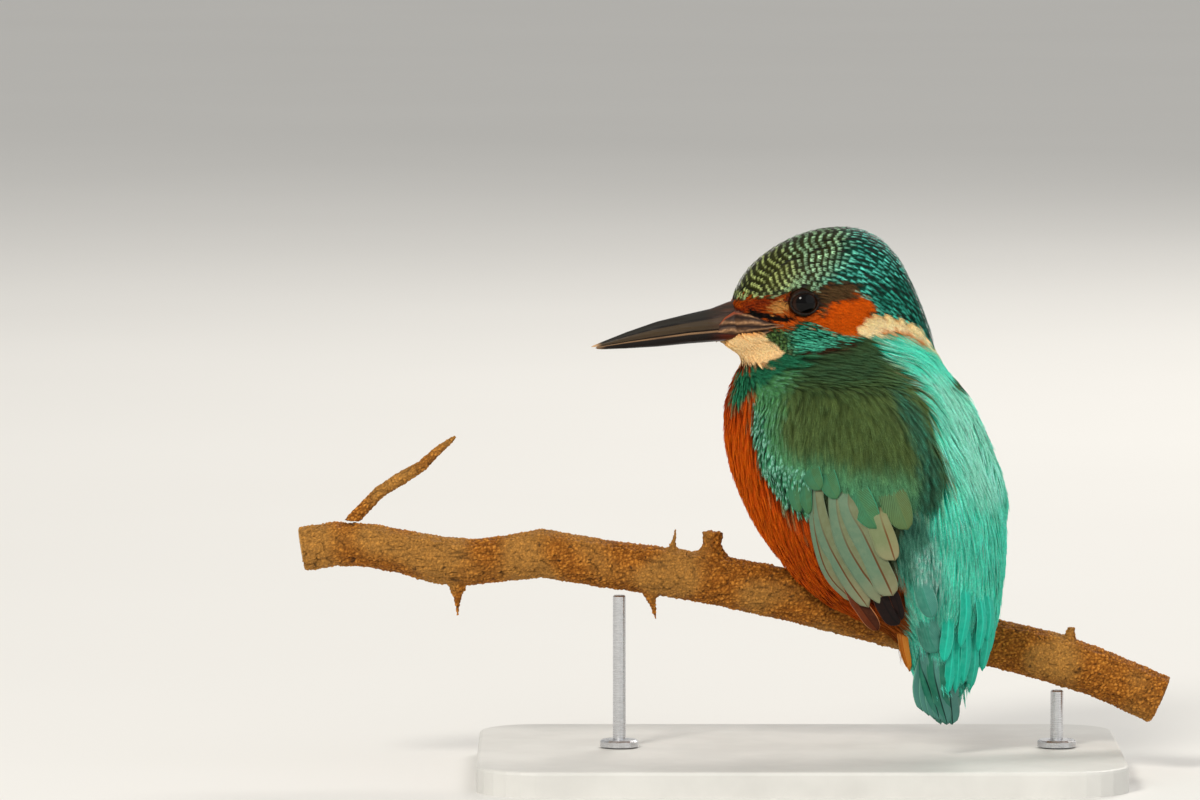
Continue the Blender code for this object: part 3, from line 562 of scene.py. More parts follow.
def flowAt(points, normals):
    moved, way = folded(points)
    total = np.zeros_like(points)
    for row in flowSet:
        gap = ((moved - row[:3]) ** 2).sum(1)
        total += np.exp(-gap / (2 * lieSet["reach"] ** 2))[:, None] * unit(row[3:])
    total = unit(total + 1e-9 * np.array((0, 0, -1.0)))
    local = seen(points) - eyeSeen  # feathers part round the eye
    gap = np.hypot(*local.T)
    near = (1 - ease(*lieSet["parting"], gap)) * (np.abs(points[:, 2] - eyeLeft[2]) < lieSet["headHeight"])
    out = np.stack([local[:, 0], np.zeros(len(local)), local[:, 1]], 1) / np.maximum(gap, 0.1)[:, None]
    total -= out * (np.minimum(dots(total, out), 0) * near * 1.25)[:, None]
    total -= 2 * dots(total, way)[:, None] * way
    total = unit(total - dots(total, normals)[:, None] * normals)
    low = (1 - ease(*lieSet["tail"], points[:, 2]))[:, None]
    return unit(total + (np.array((-0.02, -0.02, -1.0)) - total) * low)


# the skin: every flesh node grown until they touch, made one, smoothed and drawn in by the coat's depth

fleshNodes = ["trunk", "neck", "head", "tail_coverts_upper", "tail_coverts_under", "wing_left_coverts",
              "wing_right_coverts"]
# shade darkens the skin under the coat: painted shade beneath the feathers
skinSet = {"grow": 1.3, "voxel": 0.75, "smoothing": 10, "socket": 4.4, "chin": (-12.4, -0.4, 100.2),
           "chinSize": (9.6, 4.6, 3.6), "chinSlope": 0.12, "shoulder": (87, 98), "shoulderSmoothing": 45,
           "bareLift": 0.15, "shade": 0.55, "nearEye": 5.0, "eyeSkin": 0x160F0B, "gapeSkin": 0x683E2C}


def makeSkin():
    parts = [cadCopy(name) for name in fleshNodes]
    for part in parts:
        for vert in part.verts:
            vert.co += vert.normal * skinSet["grow"]
    whole = gather(parts)
    for centre in (eyeLeft, eyeRight):
        made = bmesh.ops.create_icosphere(whole, subdivisions=3, radius=skinSet["socket"])
        bmesh.ops.translate(whole, verts=made["verts"], vec=Vector(centre))
    made = bmesh.ops.create_icosphere(whole, subdivisions=3, radius=1)
    for vert in made["verts"]:
        vert.co = Vector([c * r for c, r in zip(vert.co, skinSet["chinSize"])])
        vert.co.z -= skinSet["chinSlope"] * vert.co.x
        vert.co += Vector(skinSet["chin"])
    mesh, bm = remeshed("skinForm", whole, skinSet["voxel"])
    smoothed(bm, skinSet["smoothing"])
    low, high = skinSet["shoulder"]
    smoothed(bm, skinSet["shoulderSmoothing"], [vert for vert in bm.verts if low < vert.co.z < high])
    points = np.array([vert.co for vert in bm.verts])
    normals = np.array([vert.normal for vert in bm.verts])
    paint = paintOf(points, rough=0)
    lift = np.where(paint["bare"], skinSet["bareLift"], paint["lift"])
    points -= normals * (lift + skinSet["grow"])[:, None]
    for vert, place in zip(bm.verts, points):
        vert.co = Vector(place)
    smoothed(bm)
    bmesh.ops.triangulate(bm, faces=bm.faces)
    bm.to_mesh(mesh)
    bm.free()
    return mesh


def unwrap(mesh):
    # lays the skin out flat, so that each feather's colour has a place of its own
    mesh.uv_layers.new(name="OFBake")
    holder = newObject("unwrapped", mesh)
    bpy.ops.object.select_all(action="DESELECT")
    bpy.context.view_layer.objects.active = holder
    holder.select_set(True)
    bpy.ops.object.mode_set(mode="EDIT")
    bpy.ops.mesh.select_all(action="SELECT")
    bpy.ops.uv.smart_project(angle_limit=math.radians(66), island_margin=0.004)
    bpy.ops.object.mode_set(mode="OBJECT")
    bpy.data.objects.remove(holder)
    mesh.calc_loop_triangles()


skinMesh = makeSkin()
unwrap(skinMesh)
skinPoints = np.array([vert.co for vert in skinMesh.vertices])
skinTriangles = np.array([face.vertices[:] for face in skinMesh.loop_triangles])
skinFlat = np.array([[skinMesh.uv_layers["OFBake"].uv[loop].vector[:] for loop in face.loops]
                     for face in skinMesh.loop_triangles])
skinTree = BVHTree.FromPolygons(skinPoints.tolist(), skinTriangles.tolist())
print("skin:", len(skinTriangles), "triangles")


def finishSkin(mesh):
    paint = paintOf(skinPoints, rough=0.2)
    nearEye = np.hypot(*(seen(skinPoints) - eyeSeen).T) < skinSet["nearEye"]
    bare = np.where(nearEye[:, None], lin(skinSet["eyeSkin"]), lin(skinSet["gapeSkin"]))
    # painted shade: the skin under the coat takes its feathers' root colours, darkened further as if in their
    # shadow
    shadedUnderCoat = (paint["dark"] * 0.6 + paint["mid"] * 0.4) * skinSet["shade"]
    tintCorners(mesh, np.where(paint["bare"][:, None], bare, shadedUnderCoat))
    finish, wire = newFinish("skin", Roughness=0.8)
    grain = wire.speck(1800, 4)
    grain.band(0.3, 0.7, 0.0, 0.35).blend(wire.mark("tint"), (0.0, 0.0, 0.0)).feed()
    wire.bump(grain, 0.0003)
    moveCorners(mesh, skinPoints)
    mesh.update()
    addPiece("skin", mesh, finish, "plumage_green", fleshNodes)


finishSkin(skinMesh)


# one feather of each kind, a shaft with barbs on both sides: the barbs' number, reach, first place and
# slimness, where the feather is widest, how blunt and how cupped it is, then the finish's name and roughness,
# and where the pale fleck starts and ends and its width

vaneSet = {
    "scale": (4, 0.42, 0.06, 0.42, 0.78, 4, 0.16, "crownFeather", 0.42, (0.56, 0.92, 1.15)),
    "streak": (3, 0.6, 0.05, 0.42, 0.6, 2.4, 0.14, "napeFeather", 0.42, (0.5, 1.0, 0.9)),
    "soft": (10, 0.55, 0.0, 0.1, 0.6, 2.4, 0.12, "bodyFeather", 0.65, (0.7, 1.1, 0.5)),
    "plush": (7, 0.5, 0.0, 0.24, 0.66, 2.8, 0.1, "paleFeather", 0.7, (0.7, 1.1, 0.5)),
    "silk": (8, 0.72, 0.0, 0.13, 0.7, 2.4, 0.12, "backFeather", 0.38, (0.4, 1.1, 0.4)),
    "web": (11, 0.45, 0.0, 0.095, 0.66, 2.4, 0.12, "wingFeather", 0.55, (0.7, 1.1, 0.5)),
    "lobe": (14, 0.34, 0.0, 0.1, 0.74, 3.2, 0.14, "covertFeather", 0.5, (0.8, 1.2, 3.0)),
}


def makeVane(barbs, barbReach, first, slim, peak, blunt, cup, *_):
    # across from -1 to 1, along from 0 to 1 and height, with each barb's number
    strips = [(0, 0.0, 1.0, 0.0)]
    for index in range(barbs):
        start = first + (0.96 - barbReach - first) * index / (barbs - 1)
        end = start + barbReach
        room = 1.02 - peak if end > peak else 0.9
        wide = max(0.06, 1 - (abs(end - peak) / room) ** blunt)
        strips += [(side, start, end, wide) for side in (-1, 1)]
    form = bmesh.new()
    numbers = []
    for number, (side, start, end, wide) in enumerate(strips):
        for vert in bmesh.ops.create_grid(form, x_segments=1, y_segments=2, size=0.5)["verts"]:
            u, v = vert.co.x, vert.co.y + 0.5
            thin = (1.0, 0.85, 0.12)[round(v * 2)] * (1 if side else 0.7)
            out = side * wide * (v ** 0.8)
            height = -cup * out ** 2 + (u * side * 0.05 if side else 0.05)
            vert.co = (out + u * slim * thin, start + (end - start) * v, height)
            numbers.append(number)
    form.verts.ensure_lookup_table()
    across, along, height = np.array([vert.co for vert in form.verts]).T
    faces = np.array([[vert.index for vert in face.verts] for face in form.faces])
    form.free()
    return {"across": across, "along": along, "height": height, "barb": np.array(numbers), "faces": faces,
            "barbs": len(strips)}


vanes = {kind: makeVane(*values) for kind, values in vaneSet.items()}


scatterSet = {"closer": 0.58, "narrower": 0.8, "shows": 0.75, "cell": 1.7, "behindBill": (-17.8, 97, 102),
              "orangeEnd": 25, "endWave": 0.6, "leastRoom": 6, "leastShare": 0.55, "tailTop": 60}
rowSet = {"centre": (6.0, 101.0), "angle": math.radians(4.3), "wave": 0.28, "hold": 0.92}
tailEnds = pairs((10, 12, 24.6, 25, 25.2, 35, 29.2, 35, 30.6, 27, 32, 19.8, 37.5, 19.8, 41, 25, 44, 27,
                  48, 31)).T


def laid(points):
    # nearest places on the skin and its normals there
    found, normals = np.empty_like(points), np.empty_like(points)
    for index, point in enumerate(points.tolist()):
        found[index], normals[index] = skinTree.find_nearest(point)[:2]
    return found, normals


def inRows(points):
    # crown feathers stand in rows across it, which fan out from the cheek
    middleX, middleZ = rowSet["centre"]
    x, z = points[:, 0] - middleX, points[:, 2] - middleZ
    angle, far = np.arctan2(z, -x), np.hypot(x, z)
    wave = rowSet["wave"] * np.sin(points[:, 1] * 0.9 + far * 0.5)
    row = (np.round(angle / rowSet["angle"] + wave) - wave) * rowSet["angle"]
    angle = angle + (row - angle) * rowSet["hold"]
    moved = np.stack([middleX - np.cos(angle) * far, points[:, 1], middleZ + np.sin(angle) * far], 1)
    return laid(moved)[0]


def thinned(places, gaps, bare):
    # the numbers of the roots that keep their distance from all the earlier ones
    cells, kept = {}, []
    keys = np.floor(places / scatterSet["cell"]).astype(int).tolist()
    around = [(i, j, k) for i in (-1, 0, 1) for j in (-1, 0, 1) for k in (-1, 0, 1)]
    for index, ((x, y, z), (a, b, c), limit) in enumerate(zip(places.tolist(), keys, (gaps ** 2).tolist())):
        if bare[index]:
            continue
        near = (other for i, j, k in around for other in cells.get((a + i, b + j, c + k), ()))
        if all((p - x) ** 2 + (q - y) ** 2 + (r - z) ** 2 >= limit for p, q, r in near):
            cells.setdefault((a, b, c), []).append((x, y, z))
            kept.append(index)
    return np.array(kept)


def scatter(seed, tries):
    # roots spread evenly over the skin, closer where the feathers are small
    rng = np.random.default_rng(seed)
    corners = skinPoints[skinTriangles]
    crossed = np.cross(corners[:, 1] - corners[:, 0], corners[:, 2] - corners[:, 0])
    area = np.linalg.norm(crossed, axis=1) / 2
    likely = area / paintOf(corners.mean(1), seed, 0)["size"][:, 2] ** 2
    picked = rng.choice(len(area), tries, p=likely / likely.sum())
    normals = unit(crossed)[picked]
    a, b = rng.random(tries), rng.random(tries)
    flip = a + b > 1
    a[flip], b[flip] = 1 - a[flip], 1 - b[flip]
    weights = np.stack([1 - a - b, a, b], 1)[:, :, None]
    roots = (corners[picked] * weights).sum(1)
    flat = (skinFlat[picked] * weights).sum(1)
    banded = markOf(seen(roots), plumage["crown"]) > 0.3
    roots[banded] = inRows(roots[banded])
    first = paintOf(roots, seed)
    paint = paintOf(roots + flowAt(roots, normals) * first["size"][:, :1] * scatterSet["shows"], seed)
    paint["size"][:, 1] *= np.where(banded, 1, scatterSet["narrower"])
    x, z = roots[:, 0], roots[:, 2]
    ends = np.interp(x, *tailEnds) + rng.normal(0, scatterSet["endWave"], tries)
    ends = np.where(np.isin(paint["zone"], orangeZones), np.maximum(ends, scatterSet["orangeEnd"]), ends)
    low = z < scatterSet["tailTop"]
    front, bottom, top = scatterSet["behindBill"]
    bare = paint["bare"] | first["bare"] | ((x < front) & (z > bottom) & (z < top))
    least = np.minimum(scatterSet["leastRoom"], scatterSet["leastShare"] * paint["size"][:, 0])
    bare |= low & (z - ends < least)
    paint["size"][low, 0] = np.minimum(paint["size"][low, 0], (z - ends)[low])
    kept = thinned(roots, paint["size"][:, 2] * np.where(banded, 1, scatterSet["closer"]), bare)
    paint.update(root=roots, normal=normals, flat=flat)
    return {key: value[kept] for key, value in paint.items()}


laySet = {"steps": 5, "lengths": 0.2, "turns": 0.1, "ruffled": 0.08, "crownSteep": 0.5, "steep": 0.75,
          "first": 0.08, "uneven": 0.12, "heldBelow": 40}


def traceCoat(roots, seed):
    # each feather's middle line, laid along the skin down the flow
    rng = np.random.default_rng(seed)
    count, steps, calm = len(roots["root"]), laySet["steps"], roots["calm"]
    lengths = roots["size"][:, 0] * (1 + rng.uniform(-1, 1, count) * laySet["lengths"] * calm)
    turns = rng.normal(0, laySet["turns"], count) * calm
    onCrown = np.isin(roots["zone"], crownZones)
    ruffled = np.abs(rng.normal(0, laySet["ruffled"], count)) * onCrown
    steep = np.where(onCrown, laySet["crownSteep"], laySet["steep"])
    place, normal = roots["root"], roots["normal"]
    line, ups = [], []
    for step in range(steps + 1):
        share = step / steps
        uneven = 1 + laySet["uneven"] * rng.standard_normal(count) * share * calm
        raised = laySet["first"] + (1 - laySet["first"]) * share ** steep
        rise = roots["lift"] * raised * uneven + ruffled * share ** 3
        line.append(place + normal * rise[:, None])
        ups.append(normal)
        if step == steps:
            break
        way = flowAt(place, normal)
        reach = unit(way + np.cross(way, normal) * turns[:, None]) * (lengths / steps)[:, None]
        found, turned = laid(place + reach)
        past = dots(found - place, reach) < 0.6 * dots(reach, reach)  # the skin ends before the feather
        held = (past & (place[:, 2] < laySet["heldBelow"]))[:, None]
        place = np.where(held, place + reach, found)
        normal = np.where(held, normal, unit(turned + normal * 0.5))
    return np.stack(line, 1), np.stack(ups, 1), lengths


# flecks and glints: the pale flecks' brightness varies at random, up to painted glints
toneSet = {"barb": 0.15, "feather": 0.12, "patch": 0.3, "patchSize": 0.17, "range": (0.45, 1.7),
           "marks": (0.3, 1.1), "flecksAndGlints": (0.7, 1.25), "flatSize": 0.003}


def coatMesh(name, kind, roots, seed):
    rng = np.random.default_rng(seed)
    vane = vanes[kind]
    line, ups, lengths = traceCoat(roots, seed)
    count, steps = len(lengths), line.shape[1] - 1
    ways = unit(np.gradient(line, axis=1))
    sides = unit(np.cross(ways, ups))
    at = np.clip(vane["along"], 0, 1) * steps
    low = np.minimum(at.astype(int), steps - 1)
    part = (at - low)[None, :, None]

    def along(values):
        return values[:, low] * (1 - part) + values[:, low + 1] * part

    own = np.stack([vane["across"] / 2 + 0.5, vane["along"]], 1)
    half = (roots["size"][:, 1] / 2 * rng.uniform(0.85, 1.15, count))[:, None, None]
    ragged = 1 + 0.10 * rng.standard_normal((count, vane["barbs"]))[:, vane["barb"], None]
    corners = along(line) + along(sides) * vane["across"][None, :, None] * half * ragged
    corners += along(np.cross(sides, ways)) * vane["height"][None, :, None] * half
    calm = roots["calm"][:, None]
    tone = (1 + toneSet["barb"] * calm * rng.standard_normal((count, vane["barbs"])))[:, vane["barb"]]
    patch = np.array([noise.noise(Vector(root) * toneSet["patchSize"]) for root in roots["root"]])[:, None]
    whole = toneSet["feather"] * rng.standard_normal((count, 1)) + toneSet["patch"] * patch
    tone = tone * (1 + calm * whole)
    t = vane["along"][None, :, None]
    # painted shade: each feather is darker towards its root, where the feathers overlap it
    shade = roots["dark"][:, None] + (roots["mid"] - roots["dark"])[:, None] * ease(0.15, 0.6, t)
    shade = shade + (roots["tip"][:, None] - shade) * ease(0.6, 1.0, t)
    shade = np.clip(shade * np.clip(tone, *toneSet["range"])[:, :, None], 0, 1)
    marks = roots["amount"][:, None] * rng.uniform(*toneSet["marks"], (count, 1)) * np.ones(len(own))
    # painted glints: some pale flecks are brightened at random past their own colour
    bright = np.clip(roots["fleck"] * rng.uniform(*toneSet["flecksAndGlints"], (count, 1)), 0, 1)
    flecksAndGlints = np.dstack([np.repeat(bright[:, None], len(own), 1), marks[:, :, None]])
    flat = roots["flat"][:, None] + (own - 0.5)[None] * toneSet["flatSize"]
    maps = {"OFBake": flat, "vane": np.repeat(own[None], count, 0)}
    return joined(name, corners, vane["faces"], shade, flecksAndGlints, maps)


def joined(name, corners, faces, shade, flecksAndGlints, maps):
    # many copies of one small shape as one mesh, with their colours and both their maps
    count, size = corners.shape[:2]
    every = (faces[None] + (np.arange(count) * size)[:, None, None]).ravel()
    mesh = bpy.data.meshes.new(name)
    mesh.vertices.add(count * size)
    moveCorners(mesh, corners)
    mesh.loops.add(every.size)
    mesh.loops.foreach_set("vertex_index", every.astype(np.int32))
    mesh.polygons.add(every.size // 4)
    mesh.polygons.foreach_set("loop_start", np.arange(0, every.size, 4, dtype=np.int32))
    mesh.update(calc_edges=True)
    tintCorners(mesh, shade)
    tintCorners(mesh, flecksAndGlints, "fleck")
    for mapName, values in maps.items():
        layer = mesh.uv_layers.new(name=mapName)
        layer.uv.foreach_set("vector", values.reshape(-1, 2)[every].astype(np.float32).ravel())
    return mesh


def vaneFinish(name, rough, fleckShape):
    # colour from the feather's own tint, with a pale spot near its tip and fine barbs
    low, high, wide = fleckShape
    finish, wire = newFinish(name, Roughness=rough, Specular_IOR_Level=0.1)
    along = wire.across(1)
    off = abs(wire.across() - 0.5) * 2
    spot = along.band(low, low + 0.12) * (1 - along.band(high - 0.1, high)) * (1 - off.band(wide * 0.5, wide))
    grain = wire.speck(2600, 2)
    shade = (spot * wire.mark("fleck", 3)).blend(wire.mark("tint"), wire.mark("fleck"))
    wire.vector("SCALE", {0: shade, 3: grain.band(0.35, 0.65, 0.84, 1.12)}).feed()
    wire.bump(grain, 0.0001, 0.6)
    return finish


coatFinishes = {kind: vaneFinish(*values[-3:]) for kind, values in vaneSet.items()}
coatSet = {"tries": 260000, "seed": 11, "most": 190000}


def makeCoat():
    tries = coatSet["tries"]
    roots = scatter(coatSet["seed"], tries)
    print("feathers:", len(roots["root"]))
    kinds = np.array([plumage[name]["kind"] for name in roots["zone"]])
    right = dots(roots["root"] - bodyMiddle, bodyRight) > 0
    orange = np.isin(roots["zone"], orangeZones)
    groups = [
        ("crown", "scale", True, "green"), ("nape", "streak", True, "green"),
        ("coverts", "lobe", True, "green"), ("back_left", "silk", ~right, "turquoise"),
        ("back_right", "silk", right, "turquoise"), ("wing_left", "web", ~right, "green"),
        ("wing_right", "web", right, "green"), ("pale", "plush", True, "orange"),
        ("front_left", "soft", orange & ~right, "orange"), ("front_right", "soft", orange & right, "orange"),
        ("neck", "soft", ~orange, "green"),
    ]
    for number, (place, kind, chosen, shade) in enumerate(groups):
        picked = np.flatnonzero((kinds == kind) & chosen)
        each = len(vanes[kind]["faces"]) * 2
        parts = max(1, math.ceil(len(picked) * each / coatSet["most"]))
        for part, share in enumerate(np.array_split(picked, parts)):
            label = f"coat_{place}" + (f"_{part + 1}" if parts > 1 else "")
            own = {key: value[share] for key, value in roots.items()}
            mesh = coatMesh(label, kind, own, 100 + number * 10 + part)
            addPiece(label, mesh, coatFinishes[kind], "plumage_" + shade, smooth=False)
            print(label, len(share), "feathers", len(share) * each, "triangles")


makeCoat()


# flight feathers: each a sheet with a shaft, draped over the folded wing: the colours of the outer web,
# edge, inner web, shaft and tip, the mottling's strength, and the barbs' number, slope and depth

quillSet = {
    "grey": (0x627E66, 0x829274, 0x6E7454, 0x5C3014, 0x8E8464, 0.3, 62, 9, 0.1),
    "olive": (0x76825C, 0x8C9470, 0x82825A, 0x683C1C, 0x968C6A, 0.3, 62, 9, 0.1),
    "brown": (0x602606, 0xE29660, 0x3C1604, 0x3C1606, 0x3C1604, 0.04, 62, 9, 0.1),
    "dark": (0x180D0C, 0x6E3A22, 0x140B0A, 0x0C0808, 0x140B0A, 0.04, 62, 9, 0.1),
    "teal": (0x3C7652, 0x42A47E, 0x48764C, 0x3A704E, 0x48764C, 0.25, 20, 7, 0.4),
    "moss": (0x527248, 0x648E62, 0x5E7244, 0x506C44, 0x5E7244, 0.25, 20, 7, 0.4),
    "rump": (0x3A8A76, 0x80C4B0, 0x4A9484, 0x388672, 0x4A9484, 0.25, 20, 7, 0.4),
    "bright": (0x0EB698, 0x60EAD0, 0x24CEB0, 0x32D2B4, 0x24CEB0, 0.35, 14, 8, 0.5),
    "buff": (0xCC7018, 0xEEA854, 0xDE882C, 0xB0560C, 0xDE882C, 0.3, 20, 7, 0.35),
    "tail": (0x22705A, 0x64A48A, 0x4C8278, 0x0A1E1E, 0x4C8278, 0.15, 62, 9, 0.1),
}


def quillFinish(name, web, edge, inner, shaft, end, mottled, many, slope, deep):
    # across runs from the outer web over the shaft to the inner web
    finish, wire = newFinish(name, Roughness=0.5, Specular_IOR_Level=0.12)
    across, along = wire.across(), wire.across(1)
    off = abs(across - 0.5) * 2
    barbs = wire.sum("SINE", (along * many - off * slope) * 6.2832)
    mottle = wire.speck(700, 3)
    shade = across.band(0.44, 0.56).blend(web, inner)
    shade = mottle.band(0.3, 0.75, 0, mottled).blend(shade, edge)
    shade = (barbs.band(-1, 1, 0, deep) * off.band(0.05, 0.2)).blend(shade, (0.01, 0.015, 0.012))
    shade = along.band(0.6, 1, 0, 0.55).blend(shade, end)
    shade = (off.band(0.9, 0.98) * 0.75).blend(shade, edge)
    ridge = (1 - off.band(0.05, 0.11)) * along.band(0.2, 0.6, 0.3, 0.9)
    ridge.blend(shade, shaft).feed()
    wire.bump(barbs * (deep * 3) + mottle, 0.00008, 0.4)
    return finish


quillFinishes = {name: quillFinish("quill_" + name, *values) for name, values in quillSet.items()}


def treeOf(names):
    # some CAD nodes as one surface to lay feathers on
    corners, faces = [], []
    for name in names:
        data = frame["nodes"][name].data
        start = len(corners)
        corners += [tuple(vert.co / mm) for vert in data.vertices]
        faces += [[start + index for index in face.vertices] for face in data.polygons]
    return BVHTree.FromPolygons(corners, faces)


wingNames = ["coverts", "secondaries", "primaries"]
leftTree = treeOf([f"wing_left_{name}" for name in wingNames])
rightTree = treeOf([f"wing_right_{name}" for name in wingNames])


def sideHit(tree, x, up):
    # where the side view's line through a place meets a surface, and the surface's direction there
    y = -25.0
    for _ in range(3):
        z = up - poseSet["lean"] * y
        place, normal, _, _ = tree.ray_cast((x, -80, z), (0, 1, 0))
        if place is None:
            place, normal, _, _ = tree.find_nearest((x, y, z))
            normal = -normal if normal.y > 0 else normal
        y = place.y
    return np.array((x, y, up - poseSet["lean"] * y)), np.array(normal)


coveredZone = {**plumage["wing"], "soft": 1.4}
drapeSet = {"columns": 10, "rows": 22, "gap": 0.2, "layer": 0.16, "arch": 0.22, "shaft": 0.08, "sunk": 0.8,
            "edge": -1.2, "evened": 20, "thickness": 0.00008}
mirrorSet = {"hinge": (24, -13), "height": 50, "swing": math.radians(18 / 16), "shift": (-2.4, 1.9, 0)}


def arched(u):
    return 1 - (2 * u - 1) ** 2


def quillShape(v, point):
    # half width as a share: grows quickly, stays, then rounds off at the tip
    return min(1, 0.55 + v * 1.2) * (max(0.0, 1 - max(0, (v - point) / (1 - point)) ** 2.2)) ** 0.5


def drapedQuill(tree, fade, layer, point, outer, inner, *line):
    # a feather through side view places: each corner's place, direction and height over the surface
    columns, rows = drapeSet["columns"], drapeSet["rows"]
    shares = np.linspace(0, 1, rows + 1)
    mids = curve(pairs(line), shares)
    places = np.empty((columns + 1, rows + 1, 7))
    for row, (v, mid, way) in enumerate(zip(shares, mids, unit(np.gradient(mids, axis=0)))):
        for column in range(columns + 1):
            u = column / columns
            wide = (u - 0.5) * 2 * (outer if u < 0.5 else inner) * quillShape(v, point)
            x, up = mid + np.array((-way[1], way[0])) * wide
            rise = drapeSet["gap"] + layer * drapeSet["layer"] + drapeSet["arch"] * arched(u)
            rise += drapeSet["shaft"] if column == columns // 2 else 0
            under = np.array([[x, up + drapeSet["edge"]]])
            sunk = 1 - ease(*fade, v) if fade else markOf(under, coveredZone)[0]
            rise -= (rise + drapeSet["sunk"]) * float(sunk)
            places[column, row] = (*np.concatenate(sideHit(tree, x, up)), rise)
    lie = places[:, :, [1, 3, 4, 5]]
    for _ in range(drapeSet["evened"]):  # no step where one solid ends and the next begins
        lie[:, 1:-1] = lie[:, 1:-1] / 2 + (lie[:, :-2] + lie[:, 2:]) / 4
    places[:, :, 1] = lie[:, :, 0]
    places[:, :, 3:6] = unit(lie[:, :, 1:])
    return places


def mirrored(place, rise):
    # the same corner on the right wing, which lies a little apart
    place = place - 2 * ((place - bodyMiddle) @ bodyRight) * bodyRight
    swing = mirrorSet["swing"] * max(0, mirrorSet["height"] - place[2])
    middle = np.array((*mirrorSet["hinge"], 0))
    x, y, z = place - middle
    cos, sin = math.cos(swing), math.sin(swing)
    turned = np.array((x * cos - y * sin, y * cos - x * sin, z))
    found, facing, _, _ = rightTree.find_nearest(Vector(turned + middle + mirrorSet["shift"]))
    return np.array(found) + np.array(facing) * rise


def placeQuills(name, rows, tree, slot, replaced=(), fade=None, onRight=False):
    # feathers of one finish make one piece
    byFinish = {}
    for kind, *shape in rows:
        places = drapedQuill(tree, fade, *shape)

        def corner(u, v):
            values = places[round(u * drapeSet["columns"]), round(v * drapeSet["rows"])]
            place, normal, rise = values[:3], values[3:6], values[6]
            return mirrored(place, rise) if onRight else place + normal * rise

        byFinish.setdefault(kind, []).append(grid(drapeSet["columns"], drapeSet["rows"], corner))
    for kind, forms in byFinish.items():
        bm = gather(forms, True)
        if onRight:
            bmesh.ops.reverse_faces(bm, faces=bm.faces)
        label = f"{name}_{kind}"
        addPiece(label, meshOf(label, bm), quillFinishes[kind], slot, replaced,
                 thickness=drapeSet["thickness"])
        replaced = ()


# each feather's finish, layer, where its point starts, half widths on each side of the shaft, and middle line

leftQuills = [
    ("dark", 0, 0.6, 1.4, 1, 19.2, 47, 21.2, 42.4, 22.3, 39, 22.8, 36.8),
    ("dark", 0.5, 0.6, 2.2, 1.7, 15.2, 47, 18.4, 41.4, 20.4, 37.8, 21.7, 35.6),
    ("brown", 1, 0.66, 1.7, 1.7, 8.6, 49, 12.4, 41.8, 15.2, 37.6, 17.6, 34.4),
    ("grey", 3, 0.8, 1.2, 2.4, 2.4, 70, 2.9, 62, 3.9, 55, 6.3, 47.8, 11.6, 40),
    ("grey", 4, 0.8, 2, 2.4, 3, 69, 4.5, 60, 6.5, 54.4, 9.3, 49.3, 11.9, 45, 15.6, 39.8),
    ("grey", 5, 0.8, 2.6, 2.4, 7.8, 69, 8.6, 61, 10.6, 54.6, 13.9, 48.8, 16.5, 45, 19.6, 39.2),
    ("grey", 6, 0.8, 3.2, 2.2, 9.6, 68, 11.6, 61.4, 14.1, 57.2, 17.6, 50, 19.5, 46, 21, 42.6),
    ("olive", 7, 0.74, 3.6, 1.5, 16.4, 66, 18.4, 59.6, 20, 55.3, 21.4, 50.8),
]
leftLobes = [
    ("teal", 0, 0.62, 1.4, 1.5, -5, 74, -2.6, 67, -0.4, 61.4),
    ("teal", 1, 0.62, 1.4, 1.4, -1.6, 75, 0.2, 67.6, 1.8, 61),
    ("teal", 4, 0.62, 2.2, 2.2, -2.4, 80, 1.2, 72, 4.6, 66.6),
    ("teal", 5, 0.62, 2.2, 2.2, 1.2, 79, 4.8, 71, 8.4, 64.6),
    ("moss", 6, 0.62, 3.8, 2.8, 16.4, 79, 20.4, 67, 24, 57.4),
    ("teal", 7, 0.62, 2.8, 3.2, 6.2, 78, 11.4, 67, 17.2, 57.8),
]

for side in ("left", "right"):
    nodes = [f"wing_{side}_secondaries", f"wing_{side}_primaries"]
    placeQuills(f"quills_{side}", leftQuills, leftTree, "flight_feathers", nodes, None, side == "right")
    placeQuills(f"lobes_{side}", leftLobes, leftTree, "plumage_green", (), (0.42, 0.85), side == "right")
print("flight feathers laid")


# tail: a fan of feathers from under the coverts, with more at its sides and bright ones over the rump

